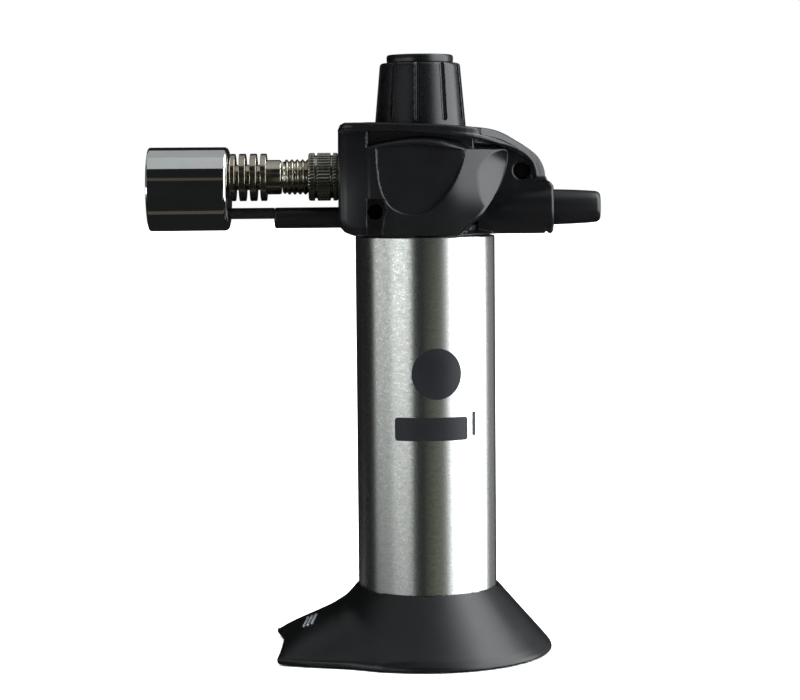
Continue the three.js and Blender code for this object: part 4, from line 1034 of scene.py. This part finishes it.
def panel(name, a, b, z0, z1, radiance, color=(1, 1, 1), lean=0.0):
    """Softbox standing between two plan points, from z0 to z1, facing the object."""
    a, b = Vector((*a, 0)), Vector((*b, 0))
    w = (b - a).length
    c = (a + b) / 2 + Vector((0, 0, (z0 + z1) / 2))
    light = bpy.data.lights.new(name, "AREA")
    light.shape = "RECTANGLE"
    light.size, light.size_y = w, z1 - z0
    light.energy = radiance * math.pi * w * (z1 - z0)
    light.color = color
    ob = bpy.data.objects.new(name, light)
    bpy.context.scene.collection.objects.link(ob)
    x = (b - a).normalized()
    target = Vector((0.0117, 0, 0.07))
    inward = Vector((-x.y, x.x, 0))
    if inward.dot(target - c) < 0:
        x, inward = -x, -inward
    zaxis = -(inward * math.cos(lean) - Vector((0, 0, 1)) * math.sin(lean))
    yaxis = zaxis.cross(x)
    mm = Matrix((x, yaxis, zaxis)).transposed().to_4x4()
    mm.translation = c
    ob.matrix_world = mm
    ob.visible_camera = False
    return ob


def polar(deg, d):
    return (0.0117 + d * math.sin(math.radians(deg)), -d * math.cos(math.radians(deg)))


def overhead(name, x0, x1, y0, y1, z, radiance, color=(1, 1, 1)):
    light = bpy.data.lights.new(name, "AREA")
    light.shape = "RECTANGLE"
    light.size, light.size_y = x1 - x0, y1 - y0
    light.energy = radiance * math.pi * (x1 - x0) * (y1 - y0)
    light.color = color
    ob = bpy.data.objects.new(name, light)
    bpy.context.scene.collection.objects.link(ob)
    ob.location = ((x0 + x1) / 2, (y0 + y1) / 2, z)
    ob.visible_camera = False
    return ob


COOL, WARM, OLIVE, PALE = (0.97, 1.0, 1.0), (1.0, 0.86, 0.66), (0.90, 1.0, 0.72), (0.945, 0.975, 1.0)
for tag, a0, a1, k in (("near", -24, -58, 1.0), ("side", -58, -93, 0.55)):
    panel(f"left_{tag}_low", polar(a0, 0.75), polar(a1, 0.75), -0.22, -0.09, 0.05 * k, COOL)
    panel(f"left_{tag}_step", polar(a0, 0.75), polar(a1, 0.75), -0.09, 0.0, 0.30 * k, COOL)
    panel(f"left_{tag}_mid", polar(a0, 0.75), polar(a1, 0.75), 0.0, 0.17, 2.25 * k, COOL)
    panel(f"left_{tag}_high", polar(a0, 0.75), polar(a1, 0.75), 0.17, 0.60, 0.16 * k, COOL)
panel("front_fill", polar(-2, 0.76), polar(30, 0.76), -0.30, 0.08, 0.085, OLIVE)
panel("front_fill_right", polar(10, 0.77), polar(30, 0.77), -0.30, 0.08, 0.06, OLIVE)
for tag, a0, a1, k in (("a", 30, 36, 0.5), ("b", 36, 42, 1.6), ("c", 42, 48, 3.0)):
    panel(f"right_edge_{tag}", polar(a0, 0.75), polar(a1, 0.75), -0.17, 0.85, k, PALE)
panel("right_box", polar(48, 0.75), polar(113, 0.75), -0.17, 0.85, 4.3, PALE)
panel("right_back", polar(113, 0.75), polar(150, 0.75), -0.17, 0.85, 0.2)
back = panel("back_box", polar(196, 0.75), polar(226, 0.75), -0.60, -0.20, 1.2, COOL)
only_sleeve = bpy.data.collections.new("sleeve_only")
only_sleeve.objects.link(bpy.data.objects["sleeve_tube"])
back.light_linking.receiver_collection = only_sleeve
overhead("top_box", -0.75, 0.75, -0.45, 0.10, 0.85, 0.46, PALE)
overhead("top_box_back", -0.75, 0.75, 0.10, 0.75, 0.85, 0.36, PALE)
overhead("key_box", 0.27, 0.66, -0.16, 0.42, 0.84, 5.4, PALE)
panel("warm_strip", (-0.6, -1.0), (0.6, -1.0), 0.56, 0.73, 0.055, WARM)
low = overhead("warm_floor_strip", -0.6, 0.6, -0.39, -0.24, -0.6, 0.065, WARM)
low.rotation_euler = (math.pi, 0, 0)
only_floor = bpy.data.collections.new("floor_only")
only_floor.objects.link(floor)
wash = overhead("floor_wash", -9, 9, -9, 9, 3.0, 3.0)
wash.visible_glossy = False
wash.light_linking.receiver_collection = only_floor

world = bpy.data.worlds.new("studio")
bpy.context.scene.world = world
world.use_nodes = True
wt = world.node_tree
wt.nodes.clear()
wo = wt.nodes.new("ShaderNodeOutputWorld")
mixs = wt.nodes.new("ShaderNodeMixShader")
lp = wt.nodes.new("ShaderNodeLightPath")
seen = wt.nodes.new("ShaderNodeBackground")
seen.inputs["Color"].default_value = (1, 1, 1, 1)
seen.inputs["Strength"].default_value = 1.0
room = wt.nodes.new("ShaderNodeBackground")
room.inputs["Color"].default_value = (0.93, 0.98, 1.0, 1)
room.inputs["Strength"].default_value = 0.013
wt.links.new(lp.outputs["Is Camera Ray"], mixs.inputs[0])
wt.links.new(room.outputs[0], mixs.inputs[1])
wt.links.new(seen.outputs[0], mixs.inputs[2])
wt.links.new(mixs.outputs[0], wo.inputs["Surface"])
bpy.context.scene.view_settings.view_transform = "Standard"
bpy.context.scene.view_settings.look = "None"
